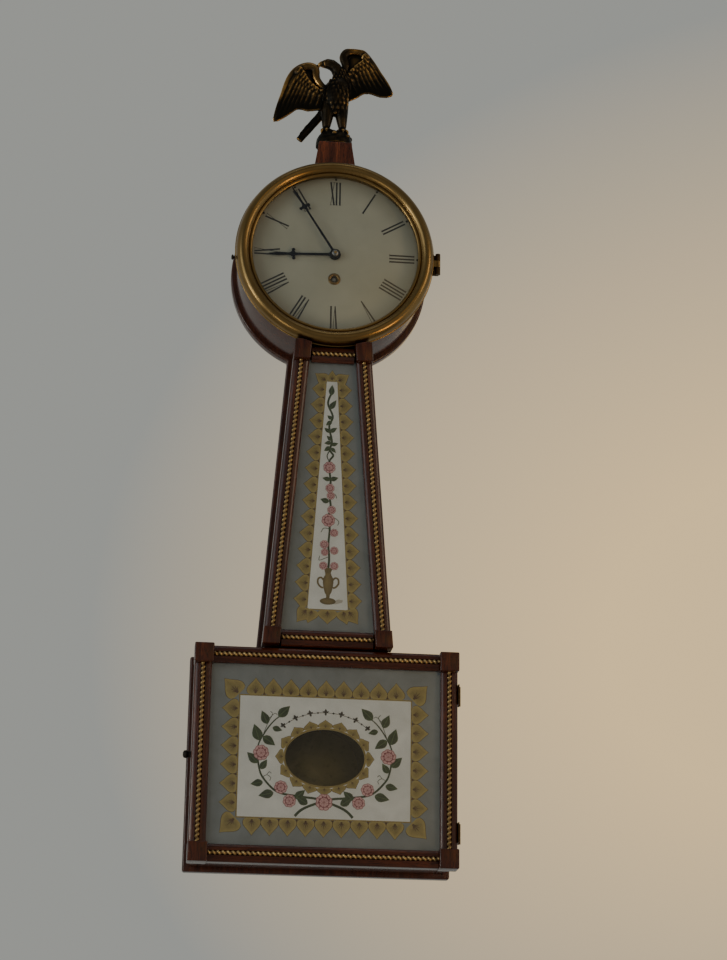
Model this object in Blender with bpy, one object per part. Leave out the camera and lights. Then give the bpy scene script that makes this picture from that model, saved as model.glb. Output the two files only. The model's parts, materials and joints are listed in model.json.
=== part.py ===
"""Banjo clock: a wall timepiece with a round brass-bezelled head, a tapering throat and a square box.

Metres, +Z up. The wall is the plane Y = 0 and the clock stands forward of it, towards -Y. The origin
is on the wall, behind the centre of the dial. Heights are taken from that centre.
"""

import math

import bmesh
import bpy
from mathutils import Matrix, Vector

MM = 0.001
GAP = 0.3 * MM  # clearance between two pieces that touch

# Case, seen from the front. Half-widths are from the centre line.
FOOT = -637 * MM  # underside of the door's corner blocks
BOARD_THICK = 12 * MM
HEAD_RIM_R = 104.6 * MM
THROAT_LOW_Z = FOOT + 215 * MM
THROAT_TOP_Z = FOOT + 537 * MM
RIM_LOW_HALF = 66.5 * MM
RIM_TOP_HALF = 42 * MM
RIM_PROUD = 5 * MM  # how far the back board stands out past the sides
BOX_RIM_HALF = 132 * MM
BOX_RIM_Z = (FOOT + 1.3 * MM, FOOT + 217 * MM)
BOX_HALF = 126 * MM
BOX_Z = (FOOT + 6 * MM, FOOT + 211 * MM)
BOX_FRONT = -70.2 * MM
BOX_WALL = 9 * MM
THROAT_WALL = 8 * MM
THROAT_FRONT = -68 * MM
DRUM_R = 99.5 * MM
DRUM_BORE_R = 93 * MM
DRUM_FRONT = -76.5 * MM
SWING_HALF = 26 * MM  # half-width of the pendulum's way through the head and the box top

# Door: square corner blocks joined by half-round rails with a rope moulding along each.
DOOR_BACK = -70.5 * MM
DOOR_HALF = 130 * MM
DOOR_TOP = FOOT + 212.5 * MM
DOOR_BLOCK = 19 * MM
DOOR_BLOCK_FRONT = -91.5 * MM
DOOR_RAIL_WIDE = 17 * MM
DOOR_RAIL_CREST = -85 * MM
DOOR_RAIL_HALF = 121 * MM
DOOR_RAIL_Z = (FOOT + 9.5 * MM, FOOT + 203.3 * MM)
DOOR_GLASS_Y = (-77.5 * MM, -79.7 * MM)
REBATE = 3 * MM  # how far a pane reaches under its rails
ROPE_R = 2.3 * MM

# Throat frame, which tapers. Its outer line runs through the blocks' outer corners.
FRAME_BACK = THROAT_FRONT - GAP
FRAME_LOW_HALF = 64.6 * MM
FRAME_TOP_HALF = 39.5 * MM
FRAME_BLOCK = 17.3 * MM
FRAME_TOP_BLOCK = 21 * MM
FRAME_BLOCK_FRONT = -89 * MM
FRAME_RAIL_WIDE = 16.8 * MM
FRAME_RAIL_CREST = -83 * MM
FRAME_GLASS_Y = (-75.3 * MM, -77.5 * MM)
FRAME_TOP_RAIL_Z = 523.6 * MM + FOOT
FRAME_LOW_RAIL_Z = 223 * MM + FOOT
BEZEL_CLEAR_R = 105 * MM  # the throat frame is scribed to this circle, under the bezel

# Head
BEZEL_R = 104.4 * MM
GLASS_R = 87.8 * MM
GLASS_THICK = 2.4 * MM
GLASS_EDGE_Y = -84.8 * MM
GLASS_SAG = 5.5 * MM
DIAL_R = 92.5 * MM
DIAL_Y = (-75.5 * MM, -76.7 * MM)
WINDING_Z = -27 * MM
EYELET_R = 6.5 * MM
WINDING_HOLE_R = 3.3 * MM

# Hinges: centre height, knuckle centre and size
DOOR_HINGE_X, DOOR_HINGE_Y = 131.8 * MM, -72.5 * MM
DOOR_HINGE_Z = (FOOT + 172 * MM, FOOT + 36 * MM)
DOOR_HINGE_TALL = 19.5 * MM
DOOR_KNUCKLE_R = 2 * MM
BEZEL_HINGE_X, BEZEL_HINGE_Y, BEZEL_HINGE_Z = 108.8 * MM, -77.5 * MM, -4 * MM
BEZEL_HINGE_TALL = 23 * MM
BEZEL_KNUCKLE_R = 2.6 * MM

# Latch on the left of the box, and the pull on the bezel
LATCH_Y, LATCH_Z = -62.5 * MM, FOOT + 107 * MM
TONGUE_LONG = 12 * MM
PULL_Z = -10 * MM

# Finial: a tapered plinth on the drum, with an eagle on a small mound
PLINTH_TOP_Z = 140.5 * MM
PLINTH_TOP_HALF = 17.3 * MM
PLINTH_LOW_HALF = 24.8 * MM
PLINTH_LOW_Z = 93 * MM
PLINTH_Y = (-20 * MM, -60 * MM)
EAGLE_Y = -42 * MM
EAGLE_Z = PLINTH_TOP_Z + GAP

# Movement. Arbors are named by what they carry; each place is (x, z) from the dial's centre.
PLATE_BACK_Y = (-28 * MM, -30 * MM)
PLATE_FRONT_Y = (-58 * MM, -60 * MM)
PLATE_X = (-44 * MM, 44 * MM)
PLATE_Z = (-54 * MM, 54 * MM)
CENTRE = (0.0, 0.0)
BARREL = (0.0, WINDING_Z)
PALLET = (0.0, 45.7 * MM)
# teeth and module of each meshing pair: wheel, pinion, module
BARREL_PAIR = (54, 9, 0.833 * MM)
INTERMEDIATE_PAIR = (48, 8, 0.8125 * MM)
CENTRE_PAIR = (60, 6, 0.66 * MM)
THIRD_PAIR = (63, 8, 0.55 * MM)
CANNON_PAIR = (10, 30, 0.96 * MM)
MINUTE_PAIR = (8, 32, 0.96 * MM)
ESCAPE_TEETH = 30
ESCAPE_R = 12.5 * MM
MINUTE_WHEEL_ANGLE = math.radians(200)
THIRD_ANGLE = math.radians(135)
PIVOT_HOLE_R = 1.4 * MM

# Pendulum, hung behind the movement
ROD_Y = -21 * MM
ROD_R = 1.2 * MM
BOB_Z = -532 * MM
BOB_R = 38 * MM
BOB_THICK = 10 * MM
NUT_R = 5 * MM
NUT_TALL = 4 * MM

# Hands, in a plane each. They stand at five to nine.
MINUTE_HAND_Y = (-80.9 * MM, -81.8 * MM)
HOUR_HAND_Y = (-78.7 * MM, -79.5 * MM)
MINUTE_TURN = math.radians(-32.5)
HOUR_TURN = math.radians(-92.5)

ROUND = 40  # sides of a large circle
SMALL = 12  # sides of a small one


# ---- building blocks -------------------------------------------------------------------------

def make_material(name, color, roughness, metallic=0.0, alpha=1.0):
    made = bpy.data.materials.new(name)
    made.use_nodes = True
    shader = made.node_tree.nodes["Principled BSDF"]
    shader.inputs["Base Color"].default_value = (*color, 1.0)
    shader.inputs["Roughness"].default_value = roughness
    shader.inputs["Metallic"].default_value = metallic
    shader.inputs["Alpha"].default_value = alpha
    made.diffuse_color = (*color, alpha)
    return made


def axis_empty(name, place):
    """An empty on a joint's axis, which the joint's pieces hang from."""
    made = bpy.data.objects.new(name, None)
    made.location = place
    bpy.context.scene.collection.objects.link(made)
    return made


def add(name, bm, material, parent=None):
    """Turns a bmesh drawn in world coordinates into an object, under its axis empty if it has one."""
    bm.normal_update()
    bmesh.ops.recalc_face_normals(bm, faces=bm.faces)
    mesh = bpy.data.meshes.new(name)
    bm.to_mesh(mesh)
    bm.free()
    mesh.materials.append(material)
    mesh.shade_smooth()
    mesh.set_sharp_from_angle(angle=math.radians(35))
    made = bpy.data.objects.new(name, mesh)
    if parent:
        mesh.transform(Matrix.Translation(-Vector(parent.location)))
        made.parent = parent
    bpy.context.scene.collection.objects.link(made)
    return made


def combine(target, other_bm, operation):
    """Joins a shape to the target, or cuts it away, with a Boolean whose other mesh stays hidden."""
    name = f"{target.name}_{operation.lower()}_{len(target.modifiers)}"
    other = add(name, other_bm, target.data.materials[0], target.parent)
    other.hide_render = True
    other.display_type = "WIRE"
    modifier = target.modifiers.new(operation.title(), "BOOLEAN")
    modifier.operation = operation
    modifier.solver = "EXACT"
    modifier.object = other
    return target


def soften(target, width, segments=1):
    """Rounds the long edges of a wooden piece."""
    modifier = target.modifiers.new("Softened edges", "BEVEL")
    modifier.width = width
    modifier.segments = segments
    modifier.limit_method = "ANGLE"
    modifier.angle_limit = math.radians(40)
    return target


def box(low, high):
    bm = bmesh.new()
    bmesh.ops.create_cube(bm, size=1.0)
    low, high = [[pick(pair) for pair in zip(low, high)] for pick in (min, max)]
    for vert in bm.verts:
        vert.co = [low[i] + (vert.co[i] + 0.5) * (high[i] - low[i]) for i in range(3)]
    return bm


def slab(outline, near, far, across="Y"):
    """Extrudes an outline. Its points are (x, z) for across Y, (x, y) for Z and (y, z) for X."""
    place = {
        "Y": lambda a, b, d: (a, d, b),
        "Z": lambda a, b, d: (a, b, d),
        "X": lambda a, b, d: (d, a, b),
    }[across]
    bm = bmesh.new()
    ends = [[bm.verts.new(place(a, b, d)) for a, b in outline] for d in (near, far)]
    for end in ends:
        bm.faces.new(end)
    count = len(outline)
    for i in range(count):
        j = (i + 1) % count
        bm.faces.new((ends[0][i], ends[0][j], ends[1][j], ends[1][i]))
    return bm


def turned(profile, centre, across="Y", sides=ROUND, ring=False):
    """Turns a profile of (radius, distance along the axis) points. A ring's profile is a closed loop."""
    a0, b0 = centre
    place = {
        "Y": lambda a, b, d: (a0 + a, d, b0 + b),
        "Z": lambda a, b, d: (a0 + a, b0 + b, d),
        "X": lambda a, b, d: (d, a0 + a, b0 + b),
    }[across]
    bm = bmesh.new()
    rings = []
    for radius, along in profile:
        angles = [2 * math.pi * k / sides for k in range(sides)]
        rings.append([bm.verts.new(place(radius * math.cos(t), radius * math.sin(t), along)) for t in angles])
    pairs = list(zip(rings, rings[1:]))
    if ring:
        pairs.append((rings[-1], rings[0]))
    else:
        bm.faces.new(rings[0])
        bm.faces.new(rings[-1])
    for one, two in pairs:
        for k in range(sides):
            j = (k + 1) % sides
            bm.faces.new((one[k], one[j], two[j], two[k]))
    return bm


def rod(radius, near, far, centre, across="Y", sides=SMALL):
    return turned([(radius, near), (radius, far)], centre, across, sides)


def tube(bore, radius, near, far, centre, across="Y", sides=SMALL):
    profile = [(bore, near), (radius, near), (radius, far), (bore, far)]
    return turned(profile, centre, across, sides, ring=True)


def arc(centre, radius, start, end, count):
    """Points on an arc, in degrees anticlockwise, both ends included."""
    turns = [math.radians(start + (end - start) * k / count) for k in range(count + 1)]
    return [(centre[0] + radius * math.cos(t), centre[1] + radius * math.sin(t)) for t in turns]


def mirrored(outline):
    """A half outline on the right, from top to bottom, closed by its mirror image on the left."""
    return outline + [(-x, z) for x, z in reversed(outline)]


def lerp(low, high, part):
    return low + (high - low) * part


# ---- case ------------------------------------------------------------------------------------

def rim_half(z):
    """Half-width of the back board along the throat."""
    return lerp(RIM_LOW_HALF, RIM_TOP_HALF, (z - THROAT_LOW_Z) / (THROAT_TOP_Z - THROAT_LOW_Z))


def frame_half(z):
    """Half-width of the throat frame's outer line."""
    return lerp(FRAME_LOW_HALF, FRAME_TOP_HALF, (z - THROAT_LOW_Z) / (THROAT_TOP_Z - THROAT_LOW_Z))


def make_back_board(wood):
    neck = math.degrees(math.acos(RIM_TOP_HALF / HEAD_RIM_R))
    right = arc((0, 0), HEAD_RIM_R, 90, -neck, 18)[1:]
    low, high = BOX_RIM_Z
    right += [(rim_half(high), high), (BOX_RIM_HALF, high), (BOX_RIM_HALF, low)]
    outline = [(0, HEAD_RIM_R)] + right + [(-x, z) for x, z in reversed(right)]
    board = soften(add("back_board", slab(outline, 0, -BOARD_THICK), wood), 1.2 * MM)
    combine(board, box((-21 * MM, 2 * MM, 64 * MM), (21 * MM, -2 * MM, 88 * MM)), "DIFFERENCE")
    combine(board, box((-7 * MM, 2 * MM, 69 * MM), (7 * MM, -8 * MM, 84 * MM)), "DIFFERENCE")


def make_wall_hanger(brass):
    """A brass plate let into the board, with a keyhole for a screw in the wall."""
    plate = add("wall_hanger", box((-20.6 * MM, -GAP, 64.4 * MM), (20.6 * MM, -1.7 * MM, 87.6 * MM)), brass)
    combine(plate, rod(4.5 * MM, MM, -4 * MM, (0, 73.5 * MM)), "DIFFERENCE")
    combine(plate, box((-2 * MM, MM, 73 * MM), (2 * MM, -4 * MM, 81 * MM)), "DIFFERENCE")


def make_head_ring(wood):
    back = -BOARD_THICK - GAP
    ring = add("head_ring", tube(DRUM_BORE_R, DRUM_R, back, DRUM_FRONT, (0, 0), sides=ROUND), wood)
    way = box((-SWING_HALF, -15 * MM, -110 * MM), (SWING_HALF, -50 * MM, -80 * MM))
    combine(ring, way, "DIFFERENCE")


def make_throat_sides(wood):
    back = -BOARD_THICK - GAP
    low = BOX_Z[1] + GAP
    high = -80 * MM
    for side, name in ((-1, "throat_side_left"), (1, "throat_side_right")):
        outer = [(side * (rim_half(z) - RIM_PROUD), z) for z in (low, high)]
        inner = [(x - side * THROAT_WALL, z) for x, z in reversed(outer)]
        board = add(name, slab(outer + inner, back, THROAT_FRONT), wood)
        combine(board, rod(DRUM_R + GAP, 0, 2 * THROAT_FRONT, (0, 0), sides=2 * ROUND), "DIFFERENCE")


def make_box(wood):
    back = -BOARD_THICK - GAP
    low, high = BOX_Z
    for side, name in ((-1, "box_side_left"), (1, "box_side_right")):
        edges = sorted((side * BOX_HALF, side * (BOX_HALF - BOX_WALL)))
        board = add(name, box((edges[0], BOX_FRONT, low), (edges[1], back, high)), wood)
        if side < 0:
            hole = rod(2.2 * MM, -2 * BOX_HALF, 0, (LATCH_Y, LATCH_Z), across="X")
            combine(board, hole, "DIFFERENCE")
    inner = BOX_HALF - BOX_WALL - GAP
    add("box_bottom_board", box((-inner, BOX_FRONT, low), (inner, back, low + BOX_WALL)), wood)
    top = add("box_top_board", box((-inner, BOX_FRONT, high - BOX_WALL), (inner, back, high)), wood)
    way_half = SWING_HALF + 6 * MM
    way = box((-way_half, -60 * MM, high - 2 * BOX_WALL), (way_half, -14 * MM, high + BOX_WALL))
    combine(top, way, "DIFFERENCE")


def make_plinth(wood):
    """A block tapered in front view and in side view, scribed to the drum underneath."""
    front = [(PLINTH_TOP_HALF, PLINTH_TOP_Z), (PLINTH_LOW_HALF, PLINTH_LOW_Z)]
    plinth = add("finial_plinth", slab(mirrored(front), PLINTH_Y[0], PLINTH_Y[1]), wood)
    combine(plinth, rod(DRUM_R + GAP, 0, 2 * PLINTH_Y[1], (0, 0), sides=2 * ROUND), "DIFFERENCE")


# ---- eagle -----------------------------------------------------------------------------------

# Outlines in millimetres about the eagle's foot, x to the right and z up.
RIGHT_WING = [(2, 74), (6, 86.5), (10, 98), (7.5, 108), (8.5, 114), (12.5, 118.5), (19.5, 120.5),
              (27.5, 119), (34.5, 114), (46, 98), (56, 83), (64.5, 70), (61, 66.5), (47.5, 65.5),
              (37, 69), (29, 73), (25.5, 66), (14.5, 59), (1, 52.5)]
LEFT_WING = [(0, 68), (-14, 74), (-21.5, 80.5), (-22.5, 91), (-26, 96), (-33, 97), (-43, 91), (-52, 78),
             (-58.5, 62), (-63.5, 43), (-67, 27), (-63, 26), (-51, 33.5), (-36.5, 49), (-32, 44.5),
             (-23, 43.5), (-12, 48)]
NECK = [(8, 66), (6, 87), (1, 97), (-4, 103), (-11, 104.5), (-18, 102), (-19.8, 99), (-16, 94.5),
        (-10, 91.5), (-6, 84), (-10, 68)]
TAIL = [(-12, 50), (-19.5, 43), (-41, 11), (-36.5, 7), (-16, 31), (-4, 42)]
LEFT_LEG = [(-13, 47), (-14.5, 30), (-11, 23), (-13, 13), (-4, 13), (-6, 24), (-2, 34), (0, 47)]
RIGHT_LEG = [(0, 47), (-1, 34), (2, 25), (2, 13), (11, 13), (11, 23), (12.5, 30), (12, 51)]
MOUND = [(20.5, 0), (20.5, 10), (14, 19)]
MOUND_DEPTH = 0.78


def eagle_slab(outline, near, far):
    points = [(x * MM, EAGLE_Z + z * MM) for x, z in outline]
    return slab(points, EAGLE_Y + near * MM, EAGLE_Y + far * MM)


def oval(centre, size):
    """A closed egg-like form about the eagle's foot, in millimetres."""
    bm = bmesh.new()
    bmesh.ops.create_uvsphere(bm, u_segments=14, v_segments=9, radius=MM)
    base = Vector((0, EAGLE_Y, EAGLE_Z))
    for vert in bm.verts:
        vert.co = base + Vector([centre[i] * MM + vert.co[i] * size[i] for i in range(3)])
    return bm


def make_eagle(bronze):
    bird = add("finial_eagle", oval((-1, -1, 57), (14.5, 13, 25)), bronze)
    combine(bird, eagle_slab(RIGHT_WING, 4, -3.5), "UNION")
    combine(bird, eagle_slab(LEFT_WING, 4, -3.5), "UNION")
    combine(bird, eagle_slab(NECK, 5.5, -6.5), "UNION")
    combine(bird, eagle_slab(TAIL, 9, 3), "UNION")
    combine(bird, eagle_slab(LEFT_LEG, 5, -5), "UNION")
    combine(bird, eagle_slab(RIGHT_LEG, 5, -5), "UNION")
    mound = turned([(r * MM, EAGLE_Z + z * MM) for r, z in MOUND], (0, EAGLE_Y), "Z", SMALL)
    for vert in mound.verts:
        vert.co.y = EAGLE_Y + MOUND_DEPTH * (vert.co.y - EAGLE_Y)
    combine(bird, mound, "UNION")


# ---- framed glass ----------------------------------------------------------------------------

def rail_section(wide, back, crest, glass_front):
    """Half-round moulding with a rope along its crest and a rebate behind its inner edge.

    Points are (across, depth); across is 0 on the rope's line and positive towards the glass.
    """
    half = wide / 2
    shoulder = glass_front - 1.2 * MM
    lobe = [(half * math.cos(math.radians(t)), shoulder + (crest - shoulder) * math.sin(math.radians(t)))
            for t in (0, 22, 44, 64)]
    rope = [(ROPE_R * math.cos(math.radians(t)), crest - ROPE_R * 0.75 * math.sin(math.radians(t)))
            for t in (0, 45, 90, 135, 180)]
    inner = [(half - REBATE - GAP, back), (half - REBATE - GAP, glass_front - GAP), (half, glass_front - GAP)]
    outer = [(-x, y) for x, y in reversed(lobe)]
    return inner + lobe + rope + outer + [(-half, back)]


def rail(section, start, end, inward, end_cuts):
    """Runs a section from start to end, both (x, z), the rope on that line and the rebate towards inward.

    end_cuts are the directions of the two end faces, so that a slanting rail ends level.
    """
    start, end, inward = Vector(start), Vector(end), Vector(inward).normalized()
    along = (end - start).normalized()
    bm = bmesh.new()
    ends = []
    for point, cut in ((start, Vector(end_cuts[0])), (end, Vector(end_cuts[1]))):
        ring = []
        for across, depth in section:
            place = point + inward * across
            place = place - along * ((place - point).dot(cut) / along.dot(cut))
            ring.append(bm.verts.new((place.x, depth, place.y)))
        ends.append(ring)
        bm.faces.new(ring)
    count = len(section)
    for i in range(count):
        j = (i + 1) % count
        bm.faces.new((ends[0][i], ends[0][j], ends[1][j], ends[1][i]))
    return bm


def make_throat_frame(wood, glass):
    section = rail_section(FRAME_RAIL_WIDE, FRAME_BACK, FRAME_RAIL_CREST, FRAME_GLASS_Y[1])
    scribe = BEZEL_CLEAR_R
    low_top = THROAT_LOW_Z + FRAME_BLOCK
    top_low = THROAT_TOP_Z - FRAME_TOP_BLOCK
    inset = 0.3 * MM + FRAME_RAIL_WIDE / 2
    level = (0, 1)
    for side, name in ((-1, "left"), (1, "right")):
        line = [(side * (frame_half(z) - inset), z) for z in (low_top + GAP, top_low - GAP)]
        slope = (FRAME_LOW_HALF - FRAME_TOP_HALF) / (THROAT_TOP_Z - THROAT_LOW_Z)
        shape = rail(section, line[0], line[1], (-side, -slope), (level, level))
        add(f"throat_rail_{name}", shape, wood)
        for part, (z0, z1) in (("bottom", (THROAT_LOW_Z, low_top)), ("top", (top_low, THROAT_TOP_Z))):
            outer = [(side * frame_half(z), z) for z in (z0, z1)]
            outline = outer + [(x - side * FRAME_BLOCK, z) for x, z in reversed(outer)]
            block = add(f"throat_block_{part}_{name}", slab(outline, FRAME_BACK, FRAME_BLOCK_FRONT), wood)
            # The rebate behind the block's inner corner takes the pane.
            corner = (side * (frame_half(z0) - FRAME_BLOCK), z1 if part == "bottom" else z0)
            reach = REBATE + 2.5 * MM
            low = (corner[0] - reach, FRAME_GLASS_Y[1] - GAP, corner[1] - reach)
            high = (corner[0] + reach, FRAME_BACK + MM, corner[1] + reach)
            combine(block, box(low, high), "DIFFERENCE")
            if part == "top":
                cut = rod(scribe, 0, 2 * FRAME_BLOCK_FRONT, (0, 0), sides=2 * ROUND)
                combine(block, cut, "DIFFERENCE")
    upright = (1, 0)
    rungs = {}
    for z, inward, name in ((FRAME_LOW_RAIL_Z, 1, "bottom"), (FRAME_TOP_RAIL_Z, -1, "top")):
        half = frame_half(z) - FRAME_BLOCK - GAP - MM
        shape = rail(section, (-half, z), (half, z), (0, inward), (upright, upright))
        rungs[name] = add(f"throat_rail_{name}", shape, wood)
    cut = rod(scribe, 0, 2 * FRAME_BLOCK_FRONT, (0, 0), sides=2 * ROUND)
    combine(rungs["top"], cut, "DIFFERENCE")

    edge = FRAME_RAIL_WIDE / 2 - REBATE
    pane_z = (FRAME_LOW_RAIL_Z + edge, FRAME_TOP_RAIL_Z - edge)
    pane_half = [frame_half(z) - inset - FRAME_RAIL_WIDE / 2 + REBATE - 0.3 * MM for z in pane_z]
    outline = mirrored([(pane_half[1], pane_z[1]), (pane_half[0], pane_z[0])])
    add("throat_glass", slab(outline, *FRAME_GLASS_Y), glass)


def make_door(wood, glass, brass, iron):
    hinge_line = axis_empty("door_axis", (DOOR_HINGE_X, DOOR_HINGE_Y, 0))
    section = rail_section(DOOR_RAIL_WIDE, DOOR_BACK, DOOR_RAIL_CREST, DOOR_GLASS_Y[1])
    low_z, high_z = DOOR_RAIL_Z
    inner = DOOR_HALF - DOOR_BLOCK - GAP
    for name, z, inward in (("bottom", low_z, (0, 1)), ("top", high_z, (0, -1))):
        shape = rail(section, (-inner, z), (inner, z), inward, ((1, 0), (1, 0)))
        add(f"door_rail_{name}", shape, wood, hinge_line)
    ends = (FOOT + DOOR_BLOCK + GAP, DOOR_TOP - DOOR_BLOCK - GAP)
    for side, name in ((-1, "left"), (1, "right")):
        x = side * DOOR_RAIL_HALF
        shape = rail(section, (x, ends[0]), (x, ends[1]), (-side, 0), ((0, 1), (0, 1)))
        stile = add(f"door_rail_{name}", shape, wood, hinge_line)
        if side < 0:
            reach = TONGUE_LONG + MM
            mortise = box((-119 * MM, -76 * MM, LATCH_Z - reach),
                          (-113 * MM, DOOR_BACK + MM, LATCH_Z + reach))
            combine(stile, mortise, "DIFFERENCE")
        for part, z0 in (("bottom", FOOT), ("top", DOOR_TOP - DOOR_BLOCK)):
            edges = sorted((side * DOOR_HALF, side * (DOOR_HALF - DOOR_BLOCK)))
            low = (edges[0], DOOR_BLOCK_FRONT, z0)
            high = (edges[1], DOOR_BACK, z0 + DOOR_BLOCK)
            block = add(f"door_block_{part}_{name}", box(low, high), wood, hinge_line)
            soften(block, 0.8 * MM)
            corner_x = side * (DOOR_HALF - DOOR_BLOCK)
            corner_z = z0 + DOOR_BLOCK if part == "bottom" else z0
            reach = REBATE + 2.2 * MM
            cut = box((corner_x - reach, DOOR_GLASS_Y[1] - GAP, corner_z - reach),
                      (corner_x + reach, DOOR_BACK + MM, corner_z + reach))
            combine(block, cut, "DIFFERENCE")
    half = DOOR_RAIL_HALF - DOOR_RAIL_WIDE / 2 + REBATE
    pane = box((-half, DOOR_GLASS_Y[1], low_z + DOOR_RAIL_WIDE / 2 - REBATE),
               (half, DOOR_GLASS_Y[0], high_z - DOOR_RAIL_WIDE / 2 + REBATE))
    add("door_glass", pane, glass, hinge_line)
    for z, name in zip(DOOR_HINGE_Z, ("upper", "lower")):
        make_door_hinge(name, z, brass, hinge_line)
    make_door_latch(iron)


def knuckle_profile(radius, pin, centre_z, tall):
    """The fixed leaf's two knuckles and the pin between them, as one turned form."""
    third = tall / 6
    heights = (-3 * third, -third, -third, third, third, 3 * third)
    radii = (radius, radius, pin, pin, radius, radius)
    return [(r, centre_z + h) for r, h in zip(radii, heights)]


def make_door_hinge(name, z, brass, hinge_line):
    x, y, radius, pin = DOOR_HINGE_X, DOOR_HINGE_Y, DOOR_KNUCKLE_R, 0.9 * MM
    low, high = z - DOOR_HINGE_TALL / 2, z + DOOR_HINGE_TALL / 2
    third = DOOR_HINGE_TALL / 3
    leaf = [(126.3, -50), (127.5, -50), (127.5, -68.8), (132.6, -68.8), (132.6, -70.1), (126.3, -70.1)]
    leaf = slab([(a * MM, b * MM) for a, b in leaf], low, high, "Z")
    fixed = add(f"door_hinge_{name}_case_leaf", leaf, brass)
    knuckles = knuckle_profile(radius, pin, z, DOOR_HINGE_TALL)
    combine(fixed, turned(knuckles, (x, y), "Z", SMALL), "UNION")
    for end in (low, high - third):
        hook = box((x - 0.8 * MM, -71.5 * MM, end), (x + 0.8 * MM, -69.5 * MM, end + third))
        combine(fixed, hook, "UNION")
    middle = (z - third / 2 + GAP, z + third / 2 - GAP)
    knuckle = tube(pin + GAP, radius, *middle, (x, y), "Z")
    moving = add(f"door_hinge_{name}_door_leaf", knuckle, brass, hinge_line)
    combine(moving, box((129.8 * MM, -76.5 * MM, middle[0]), (130.45 * MM, y, middle[1])), "UNION")
    combine(moving, box((129.8 * MM, -85 * MM, low), (130.9 * MM, -75.2 * MM, high)), "UNION")


def make_door_latch(iron):
    """A turn-button: knob outside, spindle through the side, tongue inside that swings out of the door."""
    spindle = axis_empty("door_latch_axis", (-BOX_HALF, LATCH_Y, LATCH_Z))
    profile = [(1.8, -114.9), (1.8, -128.2), (3.4, -129.0), (3.0, -131.5), (4.0, -133.5),
               (3.6, -136), (1.6, -137)]
    knob = turned([(r * MM, x * MM) for r, x in profile], (LATCH_Y, LATCH_Z), "X", 12)
    latch = add("door_latch", knob, iron, spindle)
    tip = -TONGUE_LONG / MM
    tongue = [(3, -3), (3, 3), (tip + 1, 3), (tip, 0), (tip + 1, -3)]
    outline = [(LATCH_Y + a * MM, LATCH_Z + b * MM) for a, b in tongue]
    combine(latch, slab(outline, -116.6 * MM, -115.3 * MM, "X"), "UNION")


# ---- head ------------------------------------------------------------------------------------

def bezel_profile():
    """Bead, wide convex torus, step and inner lip, as (radius, depth) in millimetres, closed loop."""
    torus = [(96.2 + 7.2 * math.cos(math.radians(t)), -81.8 - 10.2 * math.sin(math.radians(t)))
             for t in range(0, 151, 25)]
    back = [(88.5, -77.1), (103.4, -77.1), (104.4, -79.4), (103.8, -81.2)]
    lip = [(89.0, -87.7), (87.5, -87.3), (86.6, -86.5), (86.6, -85.7), (88.3, -85.3)]
    return [(r * MM, y * MM) for r, y in back + torus + lip]


def make_bezel(brass, glass, iron):
    hinge_line = axis_empty("bezel_axis", (BEZEL_HINGE_X, BEZEL_HINGE_Y, 0))
    ring = add("bezel_ring", turned(bezel_profile(), (0, 0), sides=ROUND, ring=True), brass, hinge_line)
    x, y, z = BEZEL_HINGE_X, BEZEL_HINGE_Y, BEZEL_HINGE_Z
    third = BEZEL_HINGE_TALL / 3
    pin = 1.2 * MM
    middle = (z - third / 2 + GAP, z + third / 2 - GAP)
    combine(ring, tube(pin + GAP, BEZEL_KNUCKLE_R, *middle, (x, y), "Z"), "UNION")
    arm = box((102 * MM, y - 2.2 * MM, middle[0]), (x - pin - 2 * GAP, y - 0.6 * MM, middle[1]))
    combine(ring, arm, "UNION")

    low, high = z - BEZEL_HINGE_TALL / 2, z + BEZEL_HINGE_TALL / 2
    leaf = [(99.9, -54), (101.1, -54), (101.1, -73.2), (109.7, -73.2), (109.7, -74.5), (99.9, -74.5)]
    leaf = slab([(a * MM, b * MM) for a, b in leaf], low, high, "Z")
    fixed = add("bezel_hinge_case_leaf", leaf, brass)
    knuckles = knuckle_profile(BEZEL_KNUCKLE_R, pin, z, BEZEL_HINGE_TALL)
    combine(fixed, turned(knuckles, (x, y), "Z", SMALL), "UNION")
    for end in (low, high - third):
        hook = box((x - 0.9 * MM, y + 1.2 * MM, end), (x + 0.9 * MM, -74 * MM, end + third))
        combine(fixed, hook, "UNION")

    back, front = dome(GLASS_EDGE_Y + GLASS_THICK), dome(GLASS_EDGE_Y)
    add("bezel_glass", turned(back[::-1] + front, (0, 0), sides=ROUND), glass, hinge_line)

    pull_x = -math.sqrt(BEZEL_R**2 - PULL_Z**2) - GAP
    shape = [(1.4, 0), (1.2, 1.0), (2.6, 1.8), (2.8, 2.9), (1.8, 3.7)]
    profile = [(r * MM, pull_x - d * MM) for r, d in shape]
    add("bezel_pull_knob", turned(profile, (-79.6 * MM, PULL_Z), "X", 12), iron, hinge_line)


def dome(edge_y):
    """Profile of a shallow dome from its centre out to the rim, as (radius, depth)."""
    curve = (GLASS_R**2 + GLASS_SAG**2) / (2 * GLASS_SAG)
    centre_y = edge_y - GLASS_SAG + curve
    radii = [GLASS_R * part for part in (1.0, 0.75, 0.45, 0.1)]
    return [(r, centre_y - math.sqrt(curve**2 - r**2)) for r in radii]


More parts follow.
